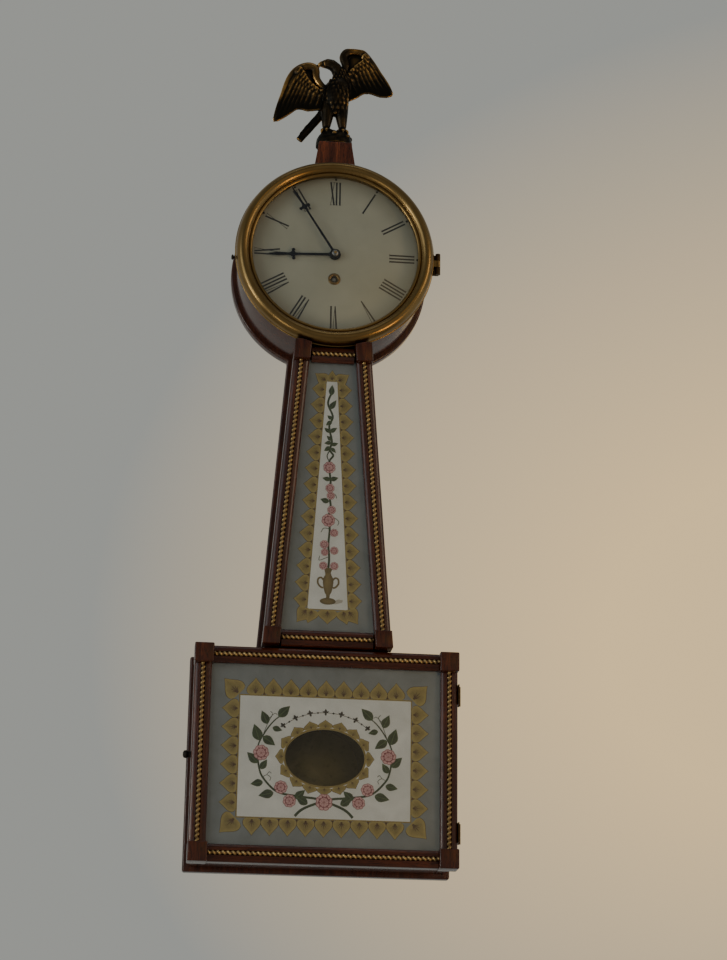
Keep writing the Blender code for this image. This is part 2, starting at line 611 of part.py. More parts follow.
def make_dial(paint, brass):
    dial = add("dial", rod(DIAL_R, *DIAL_Y, (0, 0), sides=ROUND), paint)
    combine(dial, rod(5.5 * MM, 0, 2 * DIAL_Y[1], (0, 0)), "DIFFERENCE")
    combine(dial, rod(4.6 * MM, 0, 2 * DIAL_Y[1], BARREL), "DIFFERENCE")
    back, face = DIAL_Y[0], DIAL_Y[1] - GAP
    profile = [(WINDING_HOLE_R, back), (4.3 * MM, back), (4.3 * MM, face), (EYELET_R, face),
               (EYELET_R - 0.5 * MM, face - 0.9 * MM), (WINDING_HOLE_R + 0.4 * MM, face - 0.5 * MM)]
    add("winding_eyelet", turned(profile, BARREL, sides=16, ring=True), brass)


# Half outlines of the hands in millimetres, (half-width, distance from the centre), boss to tip.
MINUTE_HALF = [(5.2, 2.5), (1.3, 5.6), (1.0, 57.6), (1.5, 59.4), (3.2, 60.2), (5.2, 59.2), (6.3, 61),
               (5.6, 63), (3.4, 62.4), (1.6, 63.8), (1.0, 67), (1.4, 73), (0.9, 82), (0.3, 87)]
HOUR_HALF = [(5.8, 2.5), (1.4, 6.2), (1.2, 39.4), (1.8, 41.4), (3.6, 42.2), (5.4, 41), (6.6, 43), (5.6, 45.2),
             (3.6, 44.6), (1.8, 46.2), (1.2, 49), (1.6, 55), (1.8, 60), (0.4, 69.5)]


def hand(half, turn, near, far, boss):
    """A hand's outline: round boss below, both edges up to the tip, turned about the dial's centre."""
    half = [(x * MM, z * MM) for x, z in half]
    low = math.degrees(math.atan2(half[0][1], half[0][0]))
    bottom = arc((0, 0), boss, 180 - low, 360 + low, 12)
    outline = bottom + half[1:] + [(-x, z) for x, z in reversed(half[1:])]
    cos, sin = math.cos(turn), math.sin(turn)
    return slab([(x * cos + z * sin, z * cos - x * sin) for x, z in outline], near, far)


def make_hands(steel, arbors):
    minute = hand(MINUTE_HALF, MINUTE_TURN, *MINUTE_HAND_Y, 5.6 * MM)
    minute = add("minute_hand", minute, steel, arbors["centre"])
    combine(minute, rod(3.1 * MM, 0, 2 * MINUTE_HAND_Y[1], CENTRE), "DIFFERENCE")
    hour = hand(HOUR_HALF, HOUR_TURN, *HOUR_HAND_Y, 6.2 * MM)
    hour = add("hour_hand", hour, steel, arbors["hour"])
    combine(hour, rod(4.6 * MM, 0, 2 * HOUR_HAND_Y[1], CENTRE), "DIFFERENCE")
    front = MINUTE_HAND_Y[1] - GAP
    profile = [(1.8, 0), (3.6, 0), (3.6, 1.4), (2.6, 2.9), (1.8, 2.9)]
    profile = [(radius * MM, front - out * MM) for radius, out in profile]
    add("hand_nut", turned(profile, CENTRE, sides=SMALL, ring=True), steel, arbors["centre"])


# ---- movement --------------------------------------------------------------------------------

def toothed(teeth, module, phase, centre):
    """Outline of a gear with one tooth centred on phase, its teeth cut short and thin for clearance."""
    pitch_r = teeth * module / 2
    tip, root = pitch_r + 0.8 * module, pitch_r - 1.15 * module
    points = []
    for k in range(teeth):
        middle = phase + 2 * math.pi * k / teeth
        step = 2 * math.pi / teeth
        for radius, part in ((root, -0.26), (tip, -0.11), (tip, 0.11), (root, 0.26)):
            turn = middle + part * step
            points.append((centre[0] + radius * math.cos(turn), centre[1] + radius * math.sin(turn)))
    return points


def saw_toothed(teeth, tip, root, lean, centre):
    """Outline of a wheel with leaning, pointed teeth."""
    points = []
    for k in range(teeth):
        for radius, part in ((root, 0.0), (tip, lean), (tip, lean + 0.12)):
            turn = 2 * math.pi * (k + part) / teeth
            points.append((centre[0] + radius * math.cos(turn), centre[1] + radius * math.sin(turn)))
    return points


def meshing(pair):
    """Distance between the arbors of a meshing pair."""
    wheel, pinion, module = pair
    return (wheel + pinion) * module / 2


def beyond(place, distance, angle):
    return place[0] + distance * math.cos(angle), place[1] + distance * math.sin(angle)


def heading(start, end):
    return math.atan2(end[1] - start[1], end[0] - start[0])


def lay_out_train():
    """Places of the arbors, (x, z), from the meshing distances."""
    places = {"barrel": BARREL, "centre": CENTRE, "hour": CENTRE, "pallet": PALLET, "winding": BARREL}
    # The intermediate arbor stands at its two meshing distances from the barrel and the centre.
    from_barrel, from_centre = meshing(BARREL_PAIR), meshing(INTERMEDIATE_PAIR)
    drop = -WINDING_Z
    z = (from_barrel**2 - from_centre**2 - drop**2) / (2 * drop)
    places["intermediate"] = (math.sqrt(from_centre**2 - z**2), z)
    third = beyond(CENTRE, meshing(CENTRE_PAIR), THIRD_ANGLE)
    places["third"] = third
    places["escape"] = (0.0, third[1] + math.sqrt(meshing(THIRD_PAIR) ** 2 - third[0] ** 2))
    places["minute"] = beyond(CENTRE, meshing(CANNON_PAIR), MINUTE_WHEEL_ANGLE)
    return places


def make_plate(name, depths, holes, brass):
    low, high = (PLATE_X[0], depths[1], PLATE_Z[0]), (PLATE_X[1], depths[0], PLATE_Z[1])
    plate = add(name, box(low, high), brass)
    for place, radius in holes:
        combine(plate, rod(radius, 0, 2 * depths[1], place, sides=12), "DIFFERENCE")
    return plate


def make_plates(brass, places):
    pivots = [(places[name], PIVOT_HOLE_R) for name in ("intermediate", "third", "escape")]
    corners = [(x, z) for x in (-38 * MM, 38 * MM) for z in (-48 * MM, 48 * MM)]
    back = make_plate("movement_back_plate", PLATE_BACK_Y,
                      pivots + [(CENTRE, PIVOT_HOLE_R), (BARREL, 2.9 * MM), (PALLET, 2.6 * MM)], brass)
    for corner in corners:
        combine(back, rod(3 * MM, -BOARD_THICK - GAP, PLATE_BACK_Y[0] - MM, corner), "UNION")
        pillar = [(3 * MM, PLATE_BACK_Y[0] - MM), (3 * MM, PLATE_FRONT_Y[0] + GAP),
                  (1.6 * MM, PLATE_FRONT_Y[0] + GAP), (1.6 * MM, PLATE_FRONT_Y[1] - 3 * MM)]
        combine(back, turned(pillar, corner, sides=SMALL), "UNION")
    wide = [(CENTRE, 1.9 * MM), (BARREL, 2.9 * MM), (PALLET, PIVOT_HOLE_R), (places["minute"], PIVOT_HOLE_R)]
    make_plate("movement_front_plate", PLATE_FRONT_Y, pivots + wide + [(c, 2 * MM) for c in corners], brass)


def arbor(name, stations, axis, metal):
    """An arbor turned to a profile of (radius, depth) stations in millimetres."""
    place = (axis.location.x, axis.location.z)
    return add(name, turned([(r * MM, y * MM) for r, y in stations], place, sides=12), metal, axis)


def make_train(brass, steel, arbors, places):
    def wheel(target, pair_part, module, phase, depths, centre):
        shape = slab(toothed(pair_part, module, phase, centre), depths[0] * MM, depths[1] * MM)
        return combine(target, shape, "UNION")

    pivoted = [(1.0, -28.4), (1.0, -30.4), (1.3, -30.4), (1.3, -57.6), (1.0, -57.6), (1.0, -59.7)]
    barrel, between, centre = places["barrel"], places["intermediate"], places["centre"]
    third, escape, minute = places["third"], places["escape"], places["minute"]

    teeth, leaves, module = BARREL_PAIR
    facing = heading(barrel, between)
    outline = toothed(teeth, module, facing, barrel)
    drum = add("mainspring_barrel", slab(outline, -31 * MM, -33.2 * MM), brass, arbors["barrel"])
    combine(drum, rod(19.5 * MM, -33 * MM, -46 * MM, barrel, sides=24), "UNION")
    combine(drum, rod(3.4 * MM, 0, -70 * MM, barrel), "DIFFERENCE")

    pinion = arbor("intermediate_wheel", pivoted, arbors["intermediate"], brass)
    wheel(pinion, leaves, module, facing + math.pi + math.pi / leaves, (-30.8, -33.6), between)
    teeth, leaves, module = INTERMEDIATE_PAIR
    facing = heading(between, centre)
    wheel(pinion, teeth, module, facing, (-49, -50.6), between)

    stations = [(1.0, -28.4), (1.0, -30.4), (1.5, -30.4), (1.5, -85.4)]
    middle = arbor("centre_wheel", stations, arbors["centre"], brass)
    wheel(middle, leaves, module, facing + math.pi + math.pi / leaves, (-48.4, -51.2), centre)
    teeth, leaves, module = CENTRE_PAIR
    facing = heading(centre, third)
    wheel(middle, teeth, module, facing, (-54, -55.4), centre)

    upper = arbor("third_wheel", pivoted, arbors["third"], brass)
    wheel(upper, leaves, module, facing + math.pi + math.pi / leaves, (-53.4, -56), third)
    teeth, leaves, module = THIRD_PAIR
    facing = heading(third, escape)
    wheel(upper, teeth, module, facing, (-35.4, -36.7), third)

    last = arbor("escape_wheel", pivoted, arbors["escape"], brass)
    wheel(last, leaves, module, facing + math.pi + math.pi / leaves, (-34.8, -37.3), escape)
    outline = saw_toothed(ESCAPE_TEETH, ESCAPE_R, ESCAPE_R - 2.2 * MM, 0.35, escape)
    combine(last, slab(outline, -41.4 * MM, -42.5 * MM), "UNION")

    teeth, leaves, module = CANNON_PAIR
    facing = heading(centre, minute)
    pipe = tube(1.8 * MM, 2.8 * MM, -61 * MM, MINUTE_HAND_Y[1], centre)
    cannon = add("cannon_pinion", pipe, steel, arbors["centre"])
    shape = slab(toothed(teeth, module, facing, centre), -62.4 * MM, -65.4 * MM)
    combine(cannon, shape, "UNION")
    combine(cannon, rod(1.8 * MM, -55 * MM, -90 * MM, centre), "DIFFERENCE")

    stations = [(1.0, -58.4), (1.0, -60.4), (1.3, -60.4), (1.3, -72)]
    below = arbor("minute_wheel", stations, arbors["minute"], brass)
    wheel(below, leaves, module, facing + math.pi + math.pi / leaves, (-63.2, -64.6), minute)
    teeth, leaves, module = MINUTE_PAIR
    facing = heading(minute, centre)
    wheel(below, teeth, module, facing, (-66.8, -70.4), minute)

    outline = toothed(leaves, module, facing + math.pi + math.pi / leaves, centre)
    hour = add("hour_wheel", slab(outline, -68 * MM, -69.4 * MM), brass, arbors["hour"])
    combine(hour, rod(4.3 * MM, -67 * MM, HOUR_HAND_Y[1], centre, sides=16), "UNION")
    combine(hour, rod(3.2 * MM, -60 * MM, -90 * MM, centre, sides=16), "DIFFERENCE")


def make_winding_arbor(steel, arbors):
    """Barrel arbor with its ratchet wheel and the square that takes the key."""
    stations = [(2.5, -28.4), (2.5, -30.6), (3.0, -30.6), (3.0, -57.6), (2.5, -57.6), (2.5, -66)]
    made = arbor("winding_arbor", stations, arbors["winding"], steel)
    combine(made, slab(saw_toothed(18, 9 * MM, 7.4 * MM, 0.1, BARREL), -60.6 * MM, -61.9 * MM), "UNION")
    half = 1.7 * MM
    key_end = box((-half, -75 * MM, WINDING_Z - half), (half, -65.5 * MM, WINDING_Z + half))
    combine(made, key_end, "UNION")


def make_pallets(steel, arbors):
    """Anchor, arbor and crutch in one. The nibs just clear the escape wheel through the whole swing."""
    half = [(3.2, 2.6), (13, -5), (13, -10), (9.9, -9), (9.6, -5.6), (2.8, -2.4)]
    outline = mirrored([(x * MM, PALLET[1] + z * MM) for x, z in half])
    stations = [(0.9, -23.7), (0.9, -25.1), (1.3, -25.1), (1.3, -57.6), (1.0, -57.6), (1.0, -59.7)]
    made = arbor("pallets_and_crutch", stations, arbors["pallet"], steel)
    combine(made, slab(outline, -40.8 * MM, -43.1 * MM), "UNION")
    low = -6 * MM
    combine(made, box((-1.4 * MM, -26.6 * MM, low), (1.4 * MM, -25.4 * MM, PALLET[1] + 1.6 * MM)), "UNION")
    fork = box((-3.1 * MM, -26.6 * MM, low - 4 * MM), (3.1 * MM, -19 * MM, low + MM))
    combine(made, fork, "UNION")
    slot = box((-ROD_R - 0.4 * MM, -25.2 * MM, low - 6 * MM), (ROD_R + 0.4 * MM, -17 * MM, low + 4 * MM))
    combine(made, slot, "DIFFERENCE")


def make_suspension(brass, steel):
    """Cock on the back plate: it pivots the pallets and holds the spring that the pendulum hangs from."""
    x, z = PALLET
    plate = box((-15 * MM, -24.9 * MM, z - 5 * MM), (15 * MM, -23.6 * MM, z + 8 * MM))
    cock = add("suspension_cock", plate, brass)
    for side in (-1, 1):
        foot = rod(2.2 * MM, -24.5 * MM, PLATE_BACK_Y[0] + GAP, (side * 11 * MM, z), sides=12)
        combine(cock, foot, "UNION")
    combine(cock, box((-4 * MM, -24 * MM, z + 3 * MM), (4 * MM, -18 * MM, z + 8 * MM)), "UNION")
    combine(cock, rod(PIVOT_HOLE_R, -20 * MM, -26 * MM, PALLET, sides=12), "DIFFERENCE")
    combine(cock, box((-0.45 * MM, -23 * MM, z + 2 * MM), (0.45 * MM, -17 * MM, z + 9 * MM)), "DIFFERENCE")
    leaf = box((-0.15 * MM, ROD_Y - 1.6 * MM, z - 9 * MM), (0.15 * MM, ROD_Y + 1.6 * MM, z + 8 * MM))
    add("suspension_spring", leaf, steel)


def make_pendulum(brass, steel):
    swing = axis_empty("pendulum_axis", (0, ROD_Y, PALLET[1]))
    top = PALLET[1] - 5 * MM
    chops = box((-2.6 * MM, ROD_Y - 2.2 * MM, top - 9 * MM), (2.6 * MM, ROD_Y + 2.2 * MM, top))
    made = add("pendulum_rod", chops, steel, swing)
    combine(made, rod(ROD_R, top - 8 * MM, BOB_Z - 52 * MM, (0, ROD_Y), "Z", 12), "UNION")
    combine(made, box((-MM, ROD_Y - 3 * MM, top - 5 * MM), (MM, ROD_Y + 3 * MM, top + MM)), "DIFFERENCE")

    slide = axis_empty("bob_axis", (0, ROD_Y, BOB_Z))
    half, rim = BOB_THICK / 2, 1.2 * MM
    curve = ((BOB_R**2) + (half - rim) ** 2) / (2 * (half - rim))
    radii = [BOB_R * part for part in (0.1, 0.45, 0.8, 1.0)]
    depth = [half - (curve - math.sqrt(curve**2 - r**2)) for r in radii]
    face = [(r, ROD_Y + d) for r, d in zip(radii, depth)]
    back = [(r, ROD_Y - d) for r, d in reversed(list(zip(radii, depth)))]
    bob = add("pendulum_bob", turned(face + back, (0, BOB_Z), sides=24), brass, slide)
    hole = rod(ROD_R + 0.4 * MM, BOB_Z - 2 * BOB_R, BOB_Z + 2 * BOB_R, (0, ROD_Y), "Z", 12)
    combine(bob, hole, "DIFFERENCE")

    nut_top = BOB_Z - BOB_R - GAP
    turn = axis_empty("rating_nut_axis", (0, ROD_Y, nut_top))
    nut = tube(ROD_R + GAP, NUT_R, nut_top - NUT_TALL, nut_top, (0, ROD_Y), "Z", 20)
    add("rating_nut", nut, brass, turn)


def main():
    for left_over in list(bpy.data.objects):
        bpy.data.objects.remove(left_over)
    mahogany = make_material("mahogany", (0.18, 0.05, 0.02), 0.3)
    brass = make_material("brass", (0.62, 0.40, 0.13), 0.3, 1.0)
    bronze = make_material("bronze", (0.10, 0.07, 0.04), 0.35, 1.0)
    iron = make_material("dark_iron", (0.03, 0.03, 0.03), 0.5, 1.0)
    blued = make_material("blued_steel", (0.02, 0.02, 0.04), 0.35, 1.0)
    steel = make_material("steel", (0.45, 0.45, 0.45), 0.3, 1.0)
    enamel = make_material("cream_paint", (0.75, 0.72, 0.58), 0.5)
    clear = make_material("clear_glass", (0.9, 0.95, 0.95), 0.05, alpha=0.3)
    painted = make_material("painted_glass", (0.30, 0.36, 0.42), 0.1)

    make_back_board(mahogany)
    make_wall_hanger(brass)
    make_head_ring(mahogany)
    make_throat_sides(mahogany)
    make_box(mahogany)
    make_plinth(mahogany)
    make_eagle(bronze)
    make_throat_frame(mahogany, painted)
    make_door(mahogany, painted, brass, iron)
    make_bezel(brass, clear, iron)
    make_dial(enamel, brass)

    places = lay_out_train()
    arbors = {name: axis_empty(f"{name}_axis", (x, 0, z)) for name, (x, z) in places.items()}
    make_hands(blued, arbors)
    make_plates(brass, places)
    make_train(brass, steel, arbors, places)
    make_winding_arbor(steel, arbors)
    make_pallets(steel, arbors)
    make_suspension(brass, steel)
    make_pendulum(brass, steel)


main()
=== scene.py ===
"""Looks of the banjo clock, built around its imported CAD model."""

import json
import math
import random

import bmesh
import bpy
from mathutils import Matrix, Vector, noise


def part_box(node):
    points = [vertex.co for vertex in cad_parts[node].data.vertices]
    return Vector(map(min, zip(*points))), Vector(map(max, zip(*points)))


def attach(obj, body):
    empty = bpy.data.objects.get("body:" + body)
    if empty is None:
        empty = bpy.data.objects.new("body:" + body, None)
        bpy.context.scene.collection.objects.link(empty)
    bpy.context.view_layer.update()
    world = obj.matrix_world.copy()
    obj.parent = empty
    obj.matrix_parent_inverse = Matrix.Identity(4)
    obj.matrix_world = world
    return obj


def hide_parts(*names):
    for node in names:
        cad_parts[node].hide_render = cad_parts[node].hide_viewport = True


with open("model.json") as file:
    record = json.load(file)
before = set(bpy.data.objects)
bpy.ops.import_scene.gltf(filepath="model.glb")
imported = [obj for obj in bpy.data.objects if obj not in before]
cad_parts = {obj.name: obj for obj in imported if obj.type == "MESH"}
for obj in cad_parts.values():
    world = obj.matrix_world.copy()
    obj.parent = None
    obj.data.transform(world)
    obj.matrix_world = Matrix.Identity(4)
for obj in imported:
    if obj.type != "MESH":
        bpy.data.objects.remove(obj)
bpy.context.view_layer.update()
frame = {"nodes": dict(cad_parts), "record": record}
NODES = frame["nodes"]
MM = 0.001


# ---- places read from the frame --------------------------------------------------------------

def low(node):
    return Vector(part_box(node)[0])


def high(node):
    return Vector(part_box(node)[1])


def centre(node):
    return (low(node) + high(node)) / 2


def body_of(node):
    """The body that a CAD node rides on."""
    for body, nodes in frame["record"]["behaviour"]["bodies"].items():
        if node in nodes:
            return body
    raise KeyError(node)


# ---- building blocks -------------------------------------------------------------------------

def add(name, bm, material, body, replaces=(), sharp=35):
    """Makes a bmesh into a piece of the object, riding on a body."""
    bm.normal_update()
    mesh = bpy.data.meshes.new(name)
    bm.to_mesh(mesh)
    bm.free()
    mesh.materials.append(material)
    mesh.shade_smooth()
    mesh.set_sharp_from_angle(angle=math.radians(sharp))
    made = bpy.data.objects.new(name, mesh)
    bpy.context.scene.collection.objects.link(made)
    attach(made, body)
    if replaces:
        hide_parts(*replaces)
    return made


def evaluate(bm, *modifiers):
    """Runs modifiers on a bmesh, each (type, settings), and returns the result as a bmesh."""
    mesh = bpy.data.meshes.new("work")
    bm.to_mesh(mesh)
    bm.free()
    work = bpy.data.objects.new("work", mesh)
    bpy.context.scene.collection.objects.link(work)
    for kind, settings in modifiers:
        modifier = work.modifiers.new(kind, kind)
        for key, value in settings.items():
            setattr(modifier, key, value)
    graph = bpy.context.evaluated_depsgraph_get()
    result = bmesh.new()
    result.from_mesh(bpy.data.meshes.new_from_object(work.evaluated_get(graph)))
    bpy.data.objects.remove(work)
    return result


def carve(bm, cutter, operation="DIFFERENCE"):
    """Cuts one bmesh out of another, or joins them."""
    mesh = bpy.data.meshes.new("cutter")
    cutter.normal_update()
    bmesh.ops.recalc_face_normals(cutter, faces=cutter.faces)
    cutter.to_mesh(mesh)
    cutter.free()
    tool = bpy.data.objects.new("cutter", mesh)
    bpy.context.scene.collection.objects.link(tool)
    result = evaluate(bm, ("BOOLEAN", {"operation": operation, "solver": "EXACT", "object": tool}))
    bpy.data.objects.remove(tool)
    return result


def bevelled(bm, width, segments=3, angle=30):
    """Rounds the edges sharper than an angle."""
    return evaluate(bm, ("BEVEL", {"width": width, "segments": segments, "limit_method": "ANGLE",
                                   "angle_limit": math.radians(angle), "harden_normals": False}))


def outward(bm):
    bm.normal_update()
    bmesh.ops.recalc_face_normals(bm, faces=bm.faces)
    return bm


def box(a, b):
    bm = bmesh.new()
    bmesh.ops.create_cube(bm, size=1.0)
    for vert in bm.verts:
        vert.co = [min(a[i], b[i]) + (vert.co[i] + 0.5) * abs(b[i] - a[i]) for i in range(3)]
    return bm


def skin(bm, rings, closed=False):
    """Faces between rings of equally many vertices, with an end face on each end unless they close up."""
    for one, two in zip(rings, rings[1:] + rings[:1] if closed else rings[1:]):
        for k in range(len(one)):
            j = (k + 1) % len(one)
            bm.faces.new((one[k], one[j], two[j], two[k]))
    if not closed:
        bm.faces.new(rings[0])
        bm.faces.new(rings[-1])
    return bm


def slab(outline, near, far):
    """Extrudes an outline of (x, z) points from one depth to another."""
    bm = bmesh.new()
    return outward(skin(bm, [[bm.verts.new((x, y, z)) for x, z in outline] for y in (near, far)]))


def turned(profile, about=(0, 0), across="Y", sides=96, ring=False):
    """Turns a profile of (radius, distance along the axis) points about a line through a point."""
    a0, b0 = about
    place = {
        "Y": lambda a, b, d: (a0 + a, d, b0 + b),
        "Z": lambda a, b, d: (a0 + a, b0 + b, d),
        "X": lambda a, b, d: (d, a0 + a, b0 + b),
    }[across]
    bm = bmesh.new()
    turns = [2 * math.pi * k / sides for k in range(sides)]
    rings = [[bm.verts.new(place(r * math.cos(t), r * math.sin(t), d)) for t in turns] for r, d in profile]
    return outward(skin(bm, rings, ring))


def polar(about, radius, degrees):
    """The point at a distance and a direction from another, in degrees anticlockwise."""
    turn = math.radians(degrees)
    return (about[0] + radius * math.cos(turn), about[1] + radius * math.sin(turn))


def arc(about, radius, start, end, count):
    """Points on an arc, both ends included."""
    return [polar(about, radius, start + (end - start) * k / count) for k in range(count + 1)]


def ellipse(at, across, up, count=64):
    turns = [2 * math.pi * k / count for k in range(count)]
    return [(at[0] + across * math.cos(t), at[1] + up * math.sin(t)) for t in turns]


def dome(edge, sag, steps, bore):
    """A spherical cap as (radius, drop below its crown) points, from its edge in to a bore."""
    curve = (edge**2 + sag**2) / (2 * sag)
    radii = [edge * k / steps for k in range(steps, 0, -1)] + [bore]
    return [(r, curve - math.sqrt(curve**2 - r**2)) for r in radii]


def join(*parts):
    """Puts several bmeshes into one, as separate shells."""
    whole = bmesh.new()
    for part in parts:
        mesh = bpy.data.meshes.new("part")
        part.to_mesh(mesh)
        part.free()
        whole.from_mesh(mesh)
        bpy.data.meshes.remove(mesh)
    return whole


# ---- materials -------------------------------------------------------------------------------

class Look:
    """A material made of nodes, with the few steps that the looks here need."""

    def __init__(self, name, **sockets):
        self.material = bpy.data.materials.new(name)
        self.material.use_nodes = True
        self.tree = self.material.node_tree
        self.shader = self.tree.nodes["Principled BSDF"]
        for key, value in sockets.items():
            self.shader.inputs[key.replace("_", " ")].default_value = value

    def node(self, kind, settings=(), **inputs):
        made = self.tree.nodes.new("ShaderNode" + kind)
        for key, value in dict(settings).items():
            setattr(made, key, value)
        for key, value in inputs.items():
            self.feed(made.inputs[key.replace("_", " ")], value)
        return made

    def feed(self, socket, value):
        if isinstance(value, bpy.types.NodeSocket):
            self.tree.links.new(value, socket)
        else:
            socket.default_value = value

    def coords(self, scale=(1, 1, 1), turn=(0, 0, 0)):
        where = self.node("TexCoord").outputs["Object"]
        return self.node("Mapping", Vector=where, Scale=scale, Rotation=turn).outputs["Vector"]

    def noise(self, vector, scale, detail=4.0, roughness=0.5, distortion=0.0):
        return self.node("TexNoise", Vector=vector, Scale=scale, Detail=detail, Roughness=roughness,
                         Distortion=distortion).outputs["Fac"]

    def ramp(self, value, *stops):
        """A colour ramp of (place, colour or grey) stops."""
        made = self.node("ValToRGB", Fac=value)
        ramp = made.color_ramp
        while len(ramp.elements) < len(stops):
            ramp.elements.new(0.5)
        for element, (place, color) in zip(ramp.elements, stops):
            element.position = place
            element.color = (*color, 1) if isinstance(color, tuple) else (color, color, color, 1)
        return made.outputs["Color"]

    def mix(self, part, one, two, blend="MIX"):
        made = self.node("Mix", {"data_type": "RGBA", "blend_type": blend})
        self.feed(made.inputs[0], part)
        for socket, value in ((made.inputs[6], one), (made.inputs[7], two)):
            self.feed(socket, (*value, 1) if isinstance(value, tuple) else value)
        return made.outputs[2]

    def math(self, operation, one, two=0.0, clamp=False):
        made = self.node("Math", {"operation": operation, "use_clamp": clamp})
        self.feed(made.inputs[0], one)
        self.feed(made.inputs[1], two)
        return made.outputs[0]

    def attribute(self, name):
        return self.node("Attribute", {"attribute_name": name}).outputs["Fac"]

    def bump(self, height, distance, strength=1.0):
        made = self.node("Bump", Height=height, Distance=distance, Strength=strength)
        self.feed(self.shader.inputs["Normal"], made.outputs["Normal"])

    def set(self, **sockets):
        for key, value in sockets.items():
            self.feed(self.shader.inputs[key.replace("_", " ")], value)
        return self.material


GRAIN_SCALES = {"X": (5, 60, 60), "Z": (60, 60, 5)}
WOOD_TONES = (0.048, 0.0105, 0.0042), (0.110, 0.0260, 0.0090), (0.205, 0.055, 0.0180)
GLASS_MIRROR = 0.04


def mahogany(name, along, lift=1.0):
    """Dark red-brown polished wood, its grain along one axis, its tones lifted for a board painted brighter, a
    lit copy of the same wood.
    """
    look = Look(name, Specular_IOR_Level=0.4, Coat_Weight=0.35, Coat_Roughness=0.08)
    flow = look.coords(GRAIN_SCALES[along])
    figure = look.noise(flow, 1.1, 5.0, 0.55, 1.2)
    streaks = look.noise(flow, 4.5, 6.0, 0.65, 0.4)
    pores = look.noise(flow, 28.0, 2.0, 0.5)
    cloud = look.noise(look.coords(), 14.0, 3.0, 0.5)
    # lift above one paints light: a brighter, lit copy of the wood
    dark, middle, light = (tuple(lift * c for c in shade) for shade in WOOD_TONES)
    tone = look.ramp(figure, (0.25, dark), (0.5, middle), (0.78, light))
    tone = look.mix(look.ramp(streaks, (0.42, 0.75), (0.62, 0.0)), tone, (0.036, 0.0075, 0.0035))
    tone = look.mix(look.ramp(pores, (0.36, 0.8), (0.46, 0.0)), tone, (0.014, 0.0045, 0.0025))
    tone = look.mix(look.ramp(cloud, (0.35, 0.30), (0.7, 0.0)), tone, (0.055, 0.012, 0.005))
    gloss = look.ramp(cloud, (0.3, 0.20), (0.75, 0.34))
    look.bump(look.mix(0.5, look.ramp(pores, (0.36, 0.0), (0.46, 1.0)), streaks), 0.00012, 0.5)
    return look.set(Base_Color=tone, Roughness=gloss)


def brass(name, bright, dull, rough=(0.16, 0.38), spotted=0.75, scratch=0.35):
    """Aged brass: clouded lacquer, darker tarnish spots and fine rubbing marks."""
    look = Look(name, Metallic=1.0)
    cloud = look.noise(look.coords(), 22.0, 6.0, 0.6, 0.6)
    spots = look.noise(look.coords(), 190.0, 4.0, 0.6)
    tone = look.ramp(cloud, (0.28, dull), (0.72, bright))
    tone = look.mix(look.ramp(spots, (0.30, spotted), (0.42, 0.0)), tone, tuple(c * 0.35 for c in dull))
    gloss = look.math("ADD", look.ramp(cloud, (0.3, rough[1]), (0.7, rough[0])),
                      look.math("MULTIPLY", look.ramp(spots, (0.3, 0.3), (0.45, 0.0)), 0.6 * spotted))
    look.bump(look.noise(look.coords(), 900.0, 2.0, 0.5), 0.00002, scratch)
    return look.set(Base_Color=tone, Roughness=gloss)


def bronze():
    """Dark cast bronze, golden where the tone attribute is high: on its worn raised places, and on the wing
    coverts as a painted highlight.
    """
    look = Look("antique_bronze", Metallic=1.0)
    # The tone holds the worn relief and the painted highlight on the wing coverts.
    raised = look.attribute("tone")
    cloud = look.noise(look.coords(), 60.0, 5.0, 0.6)
    fine = look.noise(look.coords(), 420.0, 3.0, 0.55)
    worn = look.math("ADD", raised, look.math("MULTIPLY", look.math("SUBTRACT", cloud, 0.5), 0.7), True)
    tone = look.ramp(worn, (0.25, (0.017, 0.015, 0.012)), (0.50, (0.060, 0.042, 0.024)),
                     (0.72, (0.22, 0.125, 0.045)), (0.95, (0.66, 0.38, 0.12)))
    gloss = look.ramp(worn, (0.3, 0.42), (0.9, 0.22))
    look.bump(fine, 0.0002, 0.5)
    return look.set(Base_Color=tone, Roughness=gloss)


def steel(name, color, rough):
    look = Look(name, Metallic=1.0)
    lines = look.noise(look.coords((40, 40, 4)), 30.0, 3.0, 0.5)
    tone = look.mix(look.ramp(lines, (0.3, 0.35), (0.7, 0.0)), color, tuple(c * 0.45 for c in color))
    look.bump(lines, 0.00002, 0.3)
    return look.set(Base_Color=tone, Roughness=look.ramp(lines, (0.3, rough + 0.12), (0.7, rough)))


def dial_paint():
    """Cream paint on iron: faintly mottled, and darker and warmer towards the rim, a painted shade under the
    bezel's lip.
    """
    look = Look("cream_dial_paint", Coat_Weight=0.15, Coat_Roughness=0.3)
    cloud = look.noise(look.coords(), 16.0, 5.0, 0.6)
    specks = look.noise(look.coords(), 700.0, 2.0, 0.5)
    x, _, z = look.node("SeparateXYZ", Vector=look.coords()).outputs
    middle = centre("dial")
    out = look.math("SQRT", look.math("ADD", look.math("POWER", look.math("SUBTRACT", x, middle.x), 2.0),
                                      look.math("POWER", look.math("SUBTRACT", z, middle.z), 2.0)))
    # Painted shade: the dial darkens towards its rim, under the bezel's lip.
    rim = look.ramp(look.math("DIVIDE", out, high("dial").x), (0.72, 0.0), (0.98, 0.55))
    tone = look.ramp(cloud, (0.3, (0.37, 0.375, 0.290)), (0.7, (0.46, 0.465, 0.375)))
    tone = look.mix(rim, tone, (0.28, 0.265, 0.185))
    tone = look.mix(look.ramp(specks, (0.22, 0.5), (0.30, 0.0)), tone, (0.24, 0.21, 0.14))
    look.bump(look.noise(look.coords(), 240.0, 3.0, 0.5), 0.00005, 0.4)
    return look.set(Base_Color=tone, Roughness=look.ramp(cloud, (0.3, 0.5), (0.7, 0.38)))


